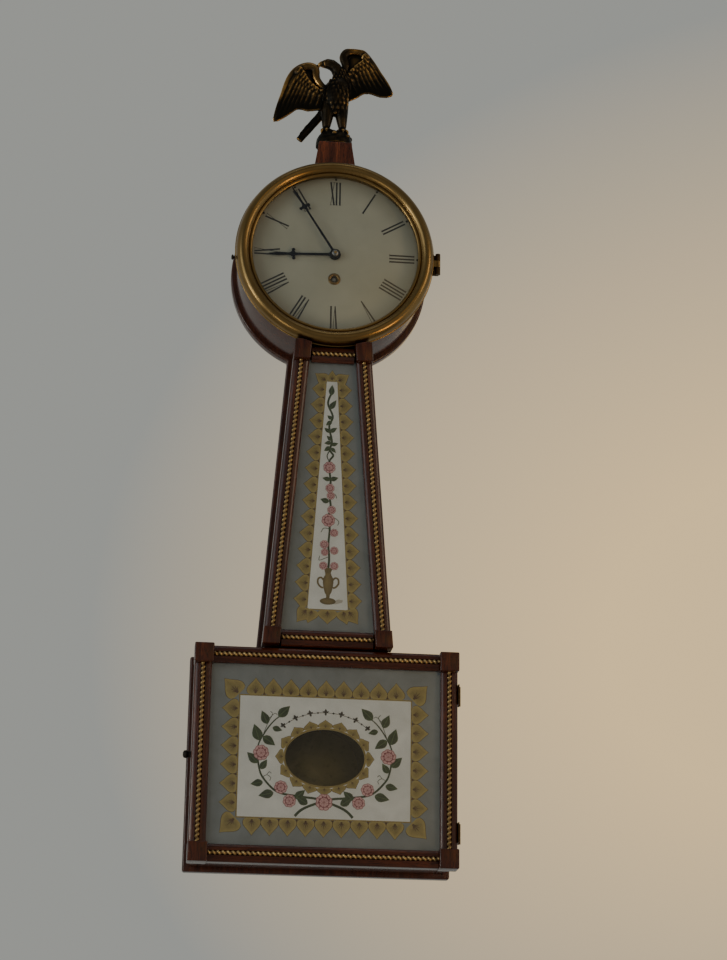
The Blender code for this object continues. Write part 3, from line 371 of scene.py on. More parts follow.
def paint(name, dark, light, rough=0.35, mottle=40.0, shaded=False):
    """Flat paint with brush mottling. A shaded paint runs from dark to light with the tone attribute."""
    look = Look(name)
    cloud = look.noise(look.coords(), mottle, 5.0, 0.6, 0.5)
    part = look.ramp(cloud, (0.3, 0.0), (0.7, 1.0))
    if shaded:
        spread = look.math("MULTIPLY", look.math("SUBTRACT", cloud, 0.5), 0.7)
        part = look.math("ADD", look.attribute("tone"), spread, True)
    look.bump(cloud, 0.00004, 0.3)
    gloss = look.ramp(cloud, (0.3, rough), (0.7, rough + 0.12))
    return look.set(Base_Color=look.mix(part, dark, light), Roughness=gloss)


def gilt(name, dark, light):
    """Gold leaf over relief: the tone attribute is low in the hollows, where the gold is painted dark and dull
    as shade.
    """
    look = Look(name)
    worn = look.noise(look.coords(), 130.0, 5.0, 0.65)
    spread = look.math("MULTIPLY", look.math("SUBTRACT", worn, 0.5), 1.1)
    part = look.math("ADD", look.attribute("tone"), spread, True)
    look.bump(worn, 0.00008, 0.4)
    return look.set(Base_Color=look.mix(part, dark, light), Metallic=look.ramp(part, (0.2, 0.2), (0.75, 0.85)),
                    Roughness=look.ramp(part, (0.2, 0.6), (0.9, 0.34)))


def clear_glass():
    """Thin clear glass: it lets light through and mirrors more at a grazing angle, as a pane does."""
    look = Look("clear_glass", Metallic=1.0, Base_Color=(0.93, 0.96, 0.98, 1))
    smear = look.noise(look.coords(), 30.0, 4.0, 0.6, 0.8)
    facing = look.node("LayerWeight", Blend=0.5).outputs["Facing"]
    grazing = look.math("MULTIPLY", look.math("POWER", facing, 5.0), 1 - GLASS_MIRROR)
    mirror = look.math("ADD", grazing, GLASS_MIRROR)
    dust = look.ramp(smear, (0.35, 0.0), (0.8, 0.015))
    gloss = look.ramp(smear, (0.3, 0.02), (0.8, 0.06))
    return look.set(Alpha=look.math("ADD", mirror, dust, True), Roughness=gloss)


WOOD = {along: mahogany("mahogany_" + along.lower(), along) for along in GRAIN_SCALES}
# The plinth is the case's mahogany lifted 2.4 times: painted light, a lit copy of the same wood.
PLINTH_PAINTED_LIT_WOOD = mahogany("mahogany_painted_lit", "Z", 2.4)
BRASS = brass("aged_brass", (0.34, 0.215, 0.075), (0.17, 0.10, 0.035), (0.28, 0.42))
BEZEL_BRASS = brass("bezel_brass", (0.35, 0.225, 0.088), (0.23, 0.145, 0.054), (0.24, 0.33), 0.15, 0.08)
DARK_BRASS = brass("tarnished_brass", (0.13, 0.080, 0.036), (0.045, 0.028, 0.016), (0.36, 0.52))
# The bob's brass is dull, and darker than the movement's as painted shade for the dim box it hangs in.
BOB_BRASS_PAINTED_SHADE = brass("dull_bob_brass_painted_shade", (0.34, 0.27, 0.105), (0.19, 0.150, 0.055), (0.42, 0.58), 0.3)
MOVEMENT_BRASS = brass("movement_brass", (0.66, 0.45, 0.18), (0.44, 0.28, 0.10), (0.22, 0.42))
BRONZE = bronze()
IRON = steel("dark_iron", (0.055, 0.048, 0.042), 0.42)
BLUED = steel("blued_steel", (0.016, 0.016, 0.024), 0.30)
STEEL = steel("polished_steel", (0.30, 0.30, 0.30), 0.25)
DIAL_PAINT = dial_paint()
GLASS = clear_glass()
# The rope's gilt darkens where its tone is low, in the grooves: painted shade.
ROPE_GILT_GROOVE_SHADE = gilt("rope_gilt_groove_shade", (0.14, 0.075, 0.028), (0.62, 0.44, 0.19))
BLACK = paint("numeral_black", (0.012, 0.011, 0.012), (0.028, 0.026, 0.026), 0.4)
FIELD = paint("grey_blue_field", (0.158, 0.182, 0.194), (0.212, 0.242, 0.256), 0.4)
PANEL = paint("white_panel", (0.61, 0.64, 0.63), (0.74, 0.775, 0.765), 0.35)
LEAF_GOLD = paint("leaf_gold", (0.080, 0.052, 0.014), (0.36, 0.295, 0.095), 0.4, 220.0, shaded=True)
LINE_GOLD = paint("line_gold", (0.19, 0.14, 0.036), (0.31, 0.24, 0.072), 0.4, 200.0)
VEIN = paint("vein_brown", (0.055, 0.026, 0.012), (0.10, 0.05, 0.02), 0.5)
GREEN = paint("leaf_green", (0.010, 0.026, 0.012), (0.085, 0.150, 0.055), 0.4, 160.0, shaded=True)
ROSE = paint("rose_pink", (0.20, 0.035, 0.055), (0.66, 0.42, 0.43), 0.4, 260.0, shaded=True)
URN = paint("urn_olive", (0.045, 0.032, 0.012), (0.24, 0.18, 0.060), 0.4, 200.0, shaded=True)
# A near-black sheet for the inside of the box: painted shade.
INTERIOR_SHADE_PAINT = paint("black_painted_shade", (0.006, 0.005, 0.004), (0.016, 0.013, 0.010), 0.7)
SHADE = paint("faint_grey", (0.36, 0.35, 0.31), (0.46, 0.45, 0.40), 0.45)


# ---- case ------------------------------------------------------------------------------------


def softened(node, material, width, segments=3):
    """A CAD node's own shape with its long edges rounded, standing for that node."""
    bm = bmesh.new()
    bm.from_mesh(NODES[node].data)
    bmesh.ops.remove_doubles(bm, verts=bm.verts, dist=1e-6)
    bmesh.ops.dissolve_limit(bm, angle_limit=math.radians(1), verts=bm.verts, edges=bm.edges)
    bm = bevelled(outward(bm), width, segments)
    add(node + "_finished", bm, material, body_of(node), (node,))


def finish_node(node, material):
    """Keeps a CAD node as it is and gives it a better material."""
    materials = NODES[node].data.materials
    if not materials:
        materials.append(material)
    for i in range(len(materials)):
        materials[i] = material


# The board stands past the throat's sides and the box's top, and narrows to a share of its width at the head.
BOARD_PROUD = {"side": 5 * MM, "top": 6 * MM}
NECK_SHARE = 0.633
HANGER_PLAY = Vector((0.4 * MM, 0, 0.4 * MM))
HANGER_POCKET = Vector((7 * MM, 8 * MM, 7.5 * MM))
OUT_BEHIND = Vector((0, 5 * MM, 0))


def make_back_board():
    """One board: circle, taper and rectangle, its front edge well rounded, let in for the hanger's plate."""
    a, b = low("back_board"), high("back_board")
    radius = b.z
    throat_low, throat_top = low("throat_block_bottom_left").z, high("throat_block_top_left").z
    half_low = high("throat_side_right").x + BOARD_PROUD["side"]
    box_top = high("box_side_left").z + BOARD_PROUD["top"]
    neck_half = half_low * NECK_SHARE
    slope = (half_low - neck_half) / (throat_top - throat_low)
    neck = math.degrees(math.acos(neck_half / radius))
    right = arc((0, 0), radius, 90, -neck, 60)
    right += [(half_low + slope * (throat_low - box_top), box_top), (b.x, box_top), (b.x, a.z)]
    outline = right + [(-x, z) for x, z in reversed(right[1:])]
    bm = bevelled(slab(outline, a.y, b.y), 2.2 * MM, 4, 40)
    plate_low, plate_high, middle = low("wall_hanger"), high("wall_hanger"), centre("wall_hanger")
    seat = Vector((0, 0.3 * MM, 0))
    bm = carve(bm, box(plate_low - HANGER_PLAY - seat, plate_high + HANGER_PLAY + OUT_BEHIND))
    pocket_high = Vector((HANGER_POCKET.x, 0, HANGER_POCKET.z))
    bm = carve(bm, box(middle - HANGER_POCKET, middle + pocket_high + OUT_BEHIND))
    add("back_board_finished", bm, WOOD["Z"], "case", ("back_board",))


DRUM_WALL = 6.5 * MM
DRUM_WAY = ((-26 * MM, -50 * MM, -110 * MM), (26 * MM, -15 * MM, -80 * MM))


def make_drum():
    """The turned drum, with a way through its foot for the pendulum."""
    a, b = low("head_ring"), high("head_ring")
    outer, bore, edge = b.x, b.x - DRUM_WALL, 0.8 * MM
    profile = [(bore, b.y), (outer, b.y), (outer, a.y + edge), (outer - 0.25 * edge, a.y + 0.25 * edge),
               (outer - edge, a.y), (bore, a.y)]
    bm = carve(turned(profile, sides=192, ring=True), box(*DRUM_WAY))
    add("head_ring_finished", bm, WOOD["Z"], "case", ("head_ring",))


def make_boards():
    make_back_board()
    make_drum()
    for side in ("left", "right"):
        softened(f"throat_side_{side}", WOOD["Z"], 0.5 * MM)
        softened(f"box_side_{side}", WOOD["Z"], 0.6 * MM)
    softened("box_top_board", WOOD["X"], 0.5 * MM)
    softened("box_bottom_board", WOOD["X"], 0.6 * MM)
    softened("finial_plinth", PLINTH_PAINTED_LIT_WOOD, 0.9 * MM)
    finish_node("wall_hanger", MOVEMENT_BRASS)


# ---- framed glasses: mouldings, ropes and blocks ---------------------------------------------

ROPE_R = 2.3 * MM
STRAND_R = 1.72 * MM
STRAND_OUT = ROPE_R - STRAND_R
ROPE_PITCH = 4.8 * MM
ROPE_STEP, ROPE_SIDES = 0.5 * MM, 16


def moulding_section(wide, back, crest, glass_front):
    """Half-round moulding with a hollow for the rope and a rebate behind its inner edge."""
    half = wide / 2
    rise = crest + 0.4 * MM
    shoulder = glass_front - 1.2 * MM
    rebate = glass_front - 0.3 * MM
    turns = [math.radians(t) for t in range(0, 70, 5)]
    lobe = [(half * math.cos(t), shoulder + (rise - shoulder) * math.sin(t)) for t in turns]
    turns = [math.radians(t) for t in range(0, 181, 20)]
    groove = [(1.02 * ROPE_R * math.cos(t), rise + 0.9 * ROPE_R * math.sin(t)) for t in turns]
    inner = half - 3.3 * MM
    points = [(inner, back), (inner, rebate), (half, rebate)]
    return points + lobe + groove + [(-x, y) for x, y in reversed(lobe)] + [(-half, back)]


def sweep(section, start, end, inward, cut):
    """Runs a section of (across, depth) points along a line of (x, z) ends, its end faces square to cut."""
    start, end, inward, cut = Vector(start), Vector(end), Vector(inward).normalized(), Vector(cut)
    along = (end - start).normalized()
    bm = bmesh.new()
    rings = []
    for point in (start, end):
        ring = []
        for across, depth in section:
            place = point + inward * across
            place = place - along * ((place - point).dot(cut) / along.dot(cut))
            ring.append(bm.verts.new((place.x, depth, place.y)))
        rings.append(ring)
    return outward(skin(bm, rings))


def rope(start, end, depth):
    """A steep spiral roll along a line of (x, z) ends, its tone low in the groove between strands, for painted
    shade.
    """
    start, end = Vector((start[0], depth, start[1])), Vector((end[0], depth, end[1]))
    length = (end - start).length
    along = (end - start).normalized()
    side = along.cross(Vector((0, 1, 0))).normalized()
    front = along.cross(side).normalized()
    count = round(length / ROPE_STEP)
    bm = bmesh.new()
    tone = bm.verts.layers.float.new("tone")
    rings = []
    for i in range(count + 1):
        middle = start.lerp(end, i / count)
        twist = 2 * math.pi * length * i / count / ROPE_PITCH
        ring = []
        for k in range(ROPE_SIDES):
            turn = 2 * math.pi * k / ROPE_SIDES
            radius = STRAND_OUT * math.cos(turn) + math.sqrt(STRAND_R**2 - (STRAND_OUT * math.sin(turn)) ** 2)
            way = turn + twist
            vert = bm.verts.new(middle + radius * (side * math.cos(way) + front * math.sin(way)))
            # Painted shade: the tone falls to nothing in the groove between the strands.
            vert[tone] = 0.95 * math.cos(turn / 2) ** 2 - 0.05
            ring.append(vert)
        rings.append(ring)
    return outward(skin(bm, rings))


def make_rail(node, start, end, inward, section, crest, cut, grain):
    """A moulding in place of a CAD rail, and the rope that lies along it."""
    bm = sweep(section, start, end, inward, cut)
    if node == "throat_rail_top":
        clear = high("throat_block_top_right")
        scribe = math.hypot(clear.x, clear.z) - 2.4 * MM
        bm = carve(bm, turned([(scribe, 0), (scribe, -0.2)], sides=192))
    add(node + "_moulding", bm, WOOD[grain], body_of(node), (node,), 28)
    add(node + "_rope", rope(start, end, crest + 0.5 * MM), ROPE_GILT_GROOVE_SHADE, body_of(node), (), 50)


LEVEL_RAILS = (("bottom", 1), ("top", -1))
UPRIGHT_RAILS = (("left", -1), ("right", 1))
CREST_BACK = 1.7 * MM


def frame_rails(frame_name, half_at, slope):
    """The rails and blocks of a frame. half_at gives an upright's place at a height, for rails of a width."""
    rail = frame_name + "_rail_"
    wide = high(rail + "bottom").z - low(rail + "bottom").z
    crest = low(rail + "left").y + CREST_BACK
    section = moulding_section(wide, high(rail + "left").y, crest, low(frame_name + "_glass").y)
    for name, inward in LEVEL_RAILS:
        a, b = low(rail + name), high(rail + name)
        z = a.z + wide / 2
        make_rail(rail + name, (a.x, z), (b.x, z), (0, inward), section, crest, (1, 0), "X")
    for name, side in UPRIGHT_RAILS:
        start, end = ((side * half_at(z, wide), z) for z in (low(rail + name).z, high(rail + name).z))
        make_rail(rail + name, start, end, (-side, -slope), section, crest, (0, 1), "Z")
    for part, _ in LEVEL_RAILS:
        for side, _ in UPRIGHT_RAILS:
            softened(f"{frame_name}_block_{part}_{side}", WOOD["Z"], 0.9 * MM)


def make_frames():
    frame_rails("door", lambda z, wide: centre("door_rail_right").x, 0)
    foot, top = "throat_block_bottom_right", "throat_block_top_right"
    slope = (high(foot).x - high(top).x) / (low(top).z - low(foot).z)

    def throat_half(z, wide):
        return high(foot).x - slope * (z - low(foot).z) - 0.3 * MM - wide / 2

    frame_rails("throat", throat_half, slope)


# ---- head: bezel, dial and hands -------------------------------------------------------------

DIAL_FACE = low("dial").y
NUMERALS = ("XII", "I", "II", "III", "IIII", "V", "VI", "VII", "VIII", "IX", "X", "XI")
NUMERAL_R = (57.5 * MM, 84 * MM)
DOT_R = 87.2 * MM
INK = 0.05 * MM
BEZEL_FOOT, BEAD_FACE = -77.1 * MM, 79.4 * MM

# In millimetres: the bezel's lip as (in from its rim, depth) and the pull as (radius, out from the bezel).
LIP = ((14.7, -87.3), (15.1, -87.65), (15.8, -87.75), (16.6, -87.55), (17.3, -87.05), (17.75, -86.4),
       (17.8, -85.85), (17.3, -85.4), (16.1, -85.3))
PULL = ((1.4, 0), (1.15, 0.4), (1.15, 0.9), (1.7, 1.3), (2.5, 1.7), (2.8, 2.2), (2.7, 2.9), (2.0, 3.5),
        (0.8, 3.7))
KNUCKLE_R, PIN_BORE = 2.6 * MM, 1.4 * MM


def make_bezel():
    """Bead, wide convex torus, step and bright inner lip, with its hinge arm and knuckle."""
    radius, back, front = -low("bezel_ring").x, high("bezel_glass").y, low("bezel_ring").y
    torus_r, torus_y = radius - 8.2 * MM, back + 0.6 * MM
    turns = [math.radians(t) for t in range(0, 151, 5)]
    torus = [(torus_r + 7.2 * MM * math.cos(t), torus_y + (front - torus_y) * math.sin(t)) for t in turns]
    bead = [(r, -out) for r, out in arc((radius - 1.2 * MM, BEAD_FACE), 1.2 * MM, -70, 80, 8)]
    foot = [(radius - 15.9 * MM, BEZEL_FOOT), (radius - 1.6 * MM, BEZEL_FOOT)]
    lip = [(radius - inward * MM, y * MM) for inward, y in LIP]
    ring = turned(foot + bead + torus + lip, sides=192, ring=True)
    hinge_low, hinge_high = low("bezel_hinge_case_leaf"), high("bezel_hinge_case_leaf")
    x, y = high("bezel_ring").x - KNUCKLE_R, hinge_low.y + KNUCKLE_R
    third = (hinge_high.z - hinge_low.z) / 3 + 0.3 * MM
    start, end = hinge_low.z + third, hinge_high.z - third
    arm = box((radius - 3 * MM, y - 2.2 * MM, start), (x - 1.6 * MM, y - 0.6 * MM, end))
    knuckle = [(PIN_BORE, start), (KNUCKLE_R, start), (KNUCKLE_R, end), (PIN_BORE, end)]
    ring = carve(ring, arm, "UNION")
    ring = carve(ring, turned(knuckle, (x, y), "Z", 32, ring=True), "UNION")
    add("bezel_turned", ring, BEZEL_BRASS, "bezel", ("bezel_ring",), 32)
    softened("bezel_hinge_case_leaf", DARK_BRASS, 0.12 * MM)

    a, b, at = low("bezel_pull_knob"), high("bezel_pull_knob"), centre("bezel_pull_knob")
    stretch = (b.x - a.x) / PULL[-1][1]
    profile = [(r * MM, b.x - out * stretch) for r, out in PULL]
    add("bezel_pull_turned", turned(profile, (at.y, at.z), "X", 40), IRON, "bezel",
        ("bezel_pull_knob",))


def make_bezel_glass():
    a, b = low("bezel_glass"), high("bezel_glass")
    thick = 2.4 * MM
    face = [(r, a.y + drop) for r, drop in dome(b.x, b.y - thick - a.y, 24, 0.3 * MM)]
    behind = [(r, y + thick) for r, y in reversed(face)]
    bm = turned(behind + face, sides=128)
    add("bezel_glass_domed", bm, GLASS, "bezel", ("bezel_glass",), 50)


def bar(start, end, wide_start, wide_end):
    """A straight stroke as four (across, out) corners."""
    (x0, z0), (x1, z1) = start, end
    a, b = wide_start / 2, wide_end / 2
    return [(x0 - a, z0), (x0 + a, z0), (x1 + b, z1), (x1 - b, z1)]


LETTER_WIDTHS = {"I": 3.6, "V": 5.4, "X": 5.2}
SERIF = 0.34


def numeral(text):
    """A Roman numeral's strokes: upright letters on a height of one, heavy stems and hairlines."""
    tall = (NUMERAL_R[1] - NUMERAL_R[0]) / MM
    x = -sum(LETTER_WIDTHS[letter] for letter in text) / 2
    strokes = []
    for letter in text:
        wide = LETTER_WIDTHS[letter]
        left, right, middle = x + 0.8, x + wide - 0.8, x + wide / 2
        if letter == "I":
            strokes.append(bar((middle, 0), (middle, tall), 1.75, 1.75))
        elif letter == "V":
            strokes.append(bar((middle + 0.3, 0), (left + 0.5, tall), 1.2, 1.9))
            strokes.append(bar((middle + 0.5, 0.3), (right + 0.2, tall), 0.5, 0.6))
        else:
            strokes.append(bar((right, 0), (left, tall), 1.8, 1.8))
            strokes.append(bar((left, 0), (right, tall), 0.55, 0.55))
        feet = (middle,) if letter == "I" else (left + 0.2, right - 0.2)
        for out, drop in ((0, SERIF), (tall, -SERIF)):
            if letter != "V" or out:
                strokes += [bar((foot, out), (foot, out + drop), 2.5, 2.3) for foot in feet]
        x += wide
    return strokes


def make_dial():
    face, back, radius = DIAL_FACE, high("dial").y, high("dial").x
    edge, hole = 0.35 * MM, 5.5 * MM
    winding = (centre("winding_eyelet").x, centre("winding_eyelet").z)
    profile = [(hole, back), (radius, back), (radius, face + edge), (radius - edge, face), (hole, face)]
    cutter = turned([(4.6 * MM, -20 * MM), (4.6 * MM, -120 * MM)], winding, sides=40)
    bm = carve(turned(profile, sides=160, ring=True), cutter)
    add("dial_painted", bm, DIAL_PAINT, "case", ("dial",))

    parts = []
    strokes = [(hour, stroke) for hour, text in enumerate(NUMERALS) for stroke in numeral(text)]
    for layer, (hour, stroke) in enumerate(strokes, 1):
        turn = Matrix.Rotation(math.radians(-30 * hour), 2)
        points = [tuple(turn @ Vector((x * MM, NUMERAL_R[0] + z * MM))) for x, z in stroke]
        parts.append(slab(points, face + 0.02 * MM, face - INK - 0.002 * MM * (layer % 3)))
    for hour in range(12):
        dot = arc(polar((0, 0), DOT_R, 90 - 30 * hour), 1.25 * MM, 0, 340, 17)
        parts.append(slab(dot, face + 0.02 * MM, face - INK))
    add("dial_numerals", join(*parts), BLACK, "case")

    rim, neck, bore = 6.5 * MM, 4.4 * MM, 3.6 * MM
    lip, seat = low("winding_eyelet").y, face - 0.05 * MM
    profile = [(bore, back), (neck, back), (neck, seat), (rim, seat), (rim - 0.1 * MM, face - 0.5 * MM),
               (rim - 0.9 * MM, lip + 0.15 * MM), (5.1 * MM, lip), (4.3 * MM, lip + 0.2 * MM),
               (bore, lip + 0.8 * MM)]
    add("winding_eyelet_turned", turned(profile, winding, sides=48, ring=True), BRASS, "case",
        ("winding_eyelet",), 40)


def make_hands():
    softened("minute_hand", BLUED, 0.22 * MM, 2)
    softened("hour_hand", BLUED, 0.20 * MM, 2)
    back, front = high("hand_nut").y, low("hand_nut").y
    radius, bore, shoulder = 3.6 * MM, 1.75 * MM, back - 1.2 * MM
    turns = [math.radians(t) for t in range(0, 90, 10)]
    domed = [(radius * math.cos(t), shoulder - (shoulder - front) * math.sin(t)) for t in turns]
    profile = [(1.8 * MM, back), (radius, back)] + domed + [(bore, front), (bore, back - 0.6 * MM)]
    add("hand_nut_domed", turned(profile, sides=40, ring=True), STEEL, body_of("hand_nut"),
        ("hand_nut",), 40)


# ---- inside and small fittings ---------------------------------------------------------------

BRASS_WORKS = ("movement_back_plate", "movement_front_plate", "mainspring_barrel", "intermediate_wheel",
               "centre_wheel", "third_wheel", "escape_wheel", "minute_wheel", "hour_wheel",
               "suspension_cock", "rating_nut")
STEEL_WORKS = ("cannon_pinion", "winding_arbor", "pallets_and_crutch", "suspension_spring", "pendulum_rod")


def make_inside():
    for nodes, material in ((BRASS_WORKS, MOVEMENT_BRASS), (STEEL_WORKS, STEEL)):
        for node in nodes:
            finish_node(node, material)
    a, b, at = low("pendulum_bob"), high("pendulum_bob"), centre("pendulum_bob")
    radius, half, rim = b.x, (b.y - a.y) / 2, 1.2 * MM
    faces = [(r, half - drop) for r, drop in dome(radius, half - rim, 16, 0.4 * MM)]
    profile = [(r, at.y + out) for r, out in reversed(faces)] + [(r, at.y - out) for r, out in faces]
    way = turned([(1.6 * MM, at.z - 2 * radius), (1.6 * MM, at.z + 2 * radius)], (at.x, at.y), "Z", 24)
    bob = carve(turned(profile, (at.x, at.z)), way)
    add("pendulum_bob_turned", bob, BOB_BRASS_PAINTED_SHADE, body_of("pendulum_bob"), ("pendulum_bob",), 40)


def make_interior_shade():
    """A thin black sheet on the back board inside the box, seen through the oval: painted shade for the dim
    box.
    """
    left, right = high("box_side_left").x, low("box_side_right").x
    bottom, top = high("box_bottom_board").z, low("box_top_board").z
    board = low("back_board").y
    coat = box((left + MM, board + 0.05 * MM, bottom + MM), (right - MM, board - 0.25 * MM, top - MM))
    add("box_back_painted_shade", bevelled(coat, 0.1 * MM, 2), INTERIOR_SHADE_PAINT, "case")


def screw_head(at, radius):
    """A slotted round-headed screw, standing out from a point along +x."""
    tall = 0.45 * radius
    turns = [math.radians(t) for t in range(0, 80, 13)]
    profile = [(radius * math.cos(t), tall * math.sin(t)) for t in turns]
    head = turned([(radius, -0.2 * MM)] + profile + [(0.1 * radius, tall)], across="Z", sides=28)
    slot = box((-2 * radius, -0.14 * radius, 0.45 * tall), (2 * radius, 0.14 * radius, 3 * tall))
    head = carve(head, slot)
    spin = Matrix.Rotation(math.radians(25), 4, "Z")
    turn = Vector((0, 0, 1)).rotation_difference(Vector((1, 0, 0))).to_matrix().to_4x4()
    bmesh.ops.transform(head, matrix=Matrix.Translation(at) @ turn @ spin, verts=head.verts)
    return head


SCREW_R = 1.5 * MM
ESCUTCHEON = (3.4, 5.2)
LATCH_BORE = 2.1 * MM


def make_fittings():
    """Both hinges of the door with their screws, the latch and its escutcheon."""
    for name in ("upper", "lower"):
        for part in ("case", "door"):
            softened(f"door_hinge_{name}_{part}_leaf", DARK_BRASS, 0.12 * MM)
        leaf = f"door_hinge_{name}_door_leaf"
        a, b = low(leaf), high(leaf)
        door_screws = [(a.x + 1.1 * MM, a.y + 3.2 * MM, z) for z in (a.z + 3.6 * MM, b.z - 3.6 * MM)]
        leaf = f"door_hinge_{name}_case_leaf"
        a, b = low(leaf), high(leaf)
        x, y = a.x + 1.2 * MM, a.y + 11.5 * MM
        case_screws = [(x, y, a.z + 3.8 * MM), (x, y, b.z - 3.8 * MM), (x, y + 8 * MM, centre(leaf).z)]
        for body, places in (("door", door_screws), ("case", case_screws)):
            heads = join(*(screw_head(at, SCREW_R) for at in places))
            add(f"door_hinge_{name}_{body}_screws", heads, DARK_BRASS, body)
    softened("door_latch", IRON, 0.25 * MM, 2)
    x, z = low("box_side_left").x, centre("door_latch").z
    knob_r = high("door_latch").z - z
    y = high("door_latch").y - knob_r
    across, up = ESCUTCHEON
    outline = [(across * math.cos(math.radians(t)), up * math.sin(math.radians(t))) for t in range(0, 360, 12)]
    plate = bmesh.new()
    loops = [[plate.verts.new((x - out * MM, y + a * MM * share, z + b * MM * share)) for a, b in outline]
             for out, share in ((-0.1, 1), (0.5, 1), (0.9, 0.86))]
    loops += [[plate.verts.new((x - out * MM, *polar((y, z), LATCH_BORE, math.degrees(math.atan2(b, a)))))
               for a, b in outline] for out in (0.9, -0.1)]
    add("door_latch_escutcheon", outward(skin(plate, loops, True)), BRASS, "case")


# ---- painted glasses -------------------------------------------------------------------------
# Paintings are laid out in millimetres, (x, z) about a point of their glass. Each tablet is a
# pane with thin coats of paint behind it, the finest coat nearest the pane.

PANE_THICK = 1.3 * MM
COAT = 0.07 * MM
COATS = {"field": ("field", FIELD), "panel": ("panel", PANEL), "line": ("gold_line", LINE_GOLD),
         "ring": ("oval_ring", LINE_GOLD), "gold": ("gold_leaves", LEAF_GOLD), "vein": ("leaf_veins", VEIN),
         "green": ("green_leaves", GREEN), "rose": ("roses", ROSE), "urn": ("urn", URN),
         "shade": ("shading", SHADE), "ink": ("arch_band", BLACK)}

# The coats that cover an area, by their level behind the pane, and how far the field stops short of the glass.
FIELD_LEVEL, PANEL_LEVEL, LINE_LEVEL, RING_LEVEL = 4.2, 3.2, 2.9, 0.9
FIELD_IN = 0.6


class Tablet:
    """A painting behind a glass: patches of paint gathered by material, then made into pieces."""

    def __init__(self, node, origin):
        self.node = node
        self.origin = origin
        self.pane_back = low(node).y + PANE_THICK
        self.coats = {}

    def mesh(self, key):
        if key not in self.coats:
            bm = bmesh.new()
            bm.verts.layers.float.new("tone")
            self.coats[key] = bm
        return self.coats[key]

    def place(self, point, level, rise=0.0):
        """level 0 is the coat nearest the pane."""
        x, z = point
        return Vector((self.origin[0] + x * MM, self.pane_back + 0.05 * MM + level * COAT - rise,
                       self.origin[1] + z * MM))

    def patch(self, key, outline, level, tones=(0.5, 0.5, 0.5), middle=None, share=0.55):
        """A flat patch: a rim, an inner ring and a middle, each with its own tone."""
        bm = self.mesh(key)
        tone = bm.verts.layers.float["tone"]
        count = len(outline)
        middle = Vector(middle or [sum(p[i] for p in outline) / count for i in (0, 1)])
        inner = [middle.lerp(Vector(p), share) for p in outline]

        def ring(points, rise, value):
            made = [bm.verts.new(self.place(p, level, rise)) for p in points]
            for vert in made:
                vert[tone] = value
            return made

        rim = ring(outline, 0, tones[0])
        mid = ring(inner, 0.5 * COAT, tones[1])
        top = ring([middle], 0.6 * COAT, tones[2])[0]
        back = ring([middle], -0.4 * COAT, tones[0])[0]
        for k in range(count):
            j = (k + 1) % count
            bm.faces.new((rim[k], rim[j], mid[j], mid[k]))
            bm.faces.new((mid[k], mid[j], top))
            bm.faces.new((rim[j], rim[k], back))

    def depth(self, level):
        return self.place((0, 0), level).y

    def sheet(self, key, outline, hole, level, back):
        """A plain coat of paint, from its level back to a depth, with a hole if it has one."""
        def flat(points, near, far):
            return slab([(self.origin[0] + x * MM, self.origin[1] + z * MM) for x, z in points], near, far)

        bm = flat(outline, self.depth(level), back)
        self.coats[key] = carve(bm, flat(hole, 0, -0.2)) if hole else bm

    def ribbon(self, key, points, width, level, value=0.5, taper=False):
        """A painted line of even width along a smooth curve."""
        bm = self.mesh(key)
        tone = bm.verts.layers.float["tone"]
        line = smooth_line(points)
        last = len(line) - 1
        rows = []
        for k, (x, z) in enumerate(line):
            before, after = line[max(k - 1, 0)], line[min(k + 1, last)]
            along = Vector((after[0] - before[0], after[1] - before[1])).normalized()
            half = width / 2 * ((1 - 0.62 * k / last) if taper else 1)
            sides = [(x - along.y * half * s, z + along.x * half * s) for s in (-1, 0, 1)]
            row = [bm.verts.new(self.place(p, level, 0.5 * COAT * (s == 0))) for p, s in zip(sides, (-1, 0, 1))]
            row.append(bm.verts.new(self.place((x, z), level, -0.4 * COAT)))
            for vert in row:
                vert[tone] = value
            rows.append(row)
        skin(bm, rows)

    def finish(self):
        """Makes the pieces, and the clear pane in front of them."""
        body = body_of(self.node)
        for key, bm in self.coats.items():
            name, material = COATS[key]
            stands_for = (self.node,) if key == "field" else ()
            add(f"{self.node}_{name}", outward(bm), material, body, stands_for, 60)
        pane = bmesh.new()
        pane.from_mesh(NODES[self.node].data)
        front = low(self.node).y
        for vert in pane.verts:
            if vert.co.y > front + 0.5 * PANE_THICK:
                vert.co.y = front + PANE_THICK
        add(f"{self.node}_pane", bevelled(outward(pane), 0.25 * MM, 2), GLASS, body)


def smooth_line(points, steps=6):
    """A Catmull-Rom curve through points."""
    if len(points) == 2:
        return list(points)
    ends = [points[0]] + list(points) + [points[-1]]
    line = []
    for a, b, c, d in zip(ends, ends[1:], ends[2:], ends[3:]):
        for k in range(steps):
            t = k / steps
            line.append(tuple(0.5 * (2 * b[i] + (c[i] - a[i]) * t
                                     + (2 * a[i] - 5 * b[i] + 4 * c[i] - d[i]) * t**2
                                     + (3 * b[i] - a[i] - 3 * c[i] + d[i]) * t**3) for i in (0, 1)))
    return line + [points[-1]]


SPADE = ((0.0, 0.0), (0.62, 0.0), (0.92, 0.08), (1.0, 0.22), (0.97, 0.36), (0.80, 0.51), (0.52, 0.67),
         (0.26, 0.82), (0.10, 0.93))
BLADE = ((0.0, 0.0), (0.36, 0.05), (0.76, 0.17), (1.0, 0.35), (0.90, 0.53), (0.58, 0.72), (0.27, 0.87),
         (0.10, 0.95))
LEAF_EDGE = 0.45
LEAF_RAYS = ((-48, 0.26), (-24, 0.34), (0, 0.42), (24, 0.34), (48, 0.26))


def shaped(half, base, tip, half_width):
    """A leaf outline from half a shape of (across, along), closed at its tip."""
    base, tip = Vector(base), Vector(tip)
    along = tip - base
    across = Vector((-along.y, along.x)).normalized() * half_width
    right = [base + along * out + across * side for side, out in half]
    left = [base + along * out - across * side for side, out in reversed(half[1:])]
    return [tuple(p) for p in right + [tip] + left]


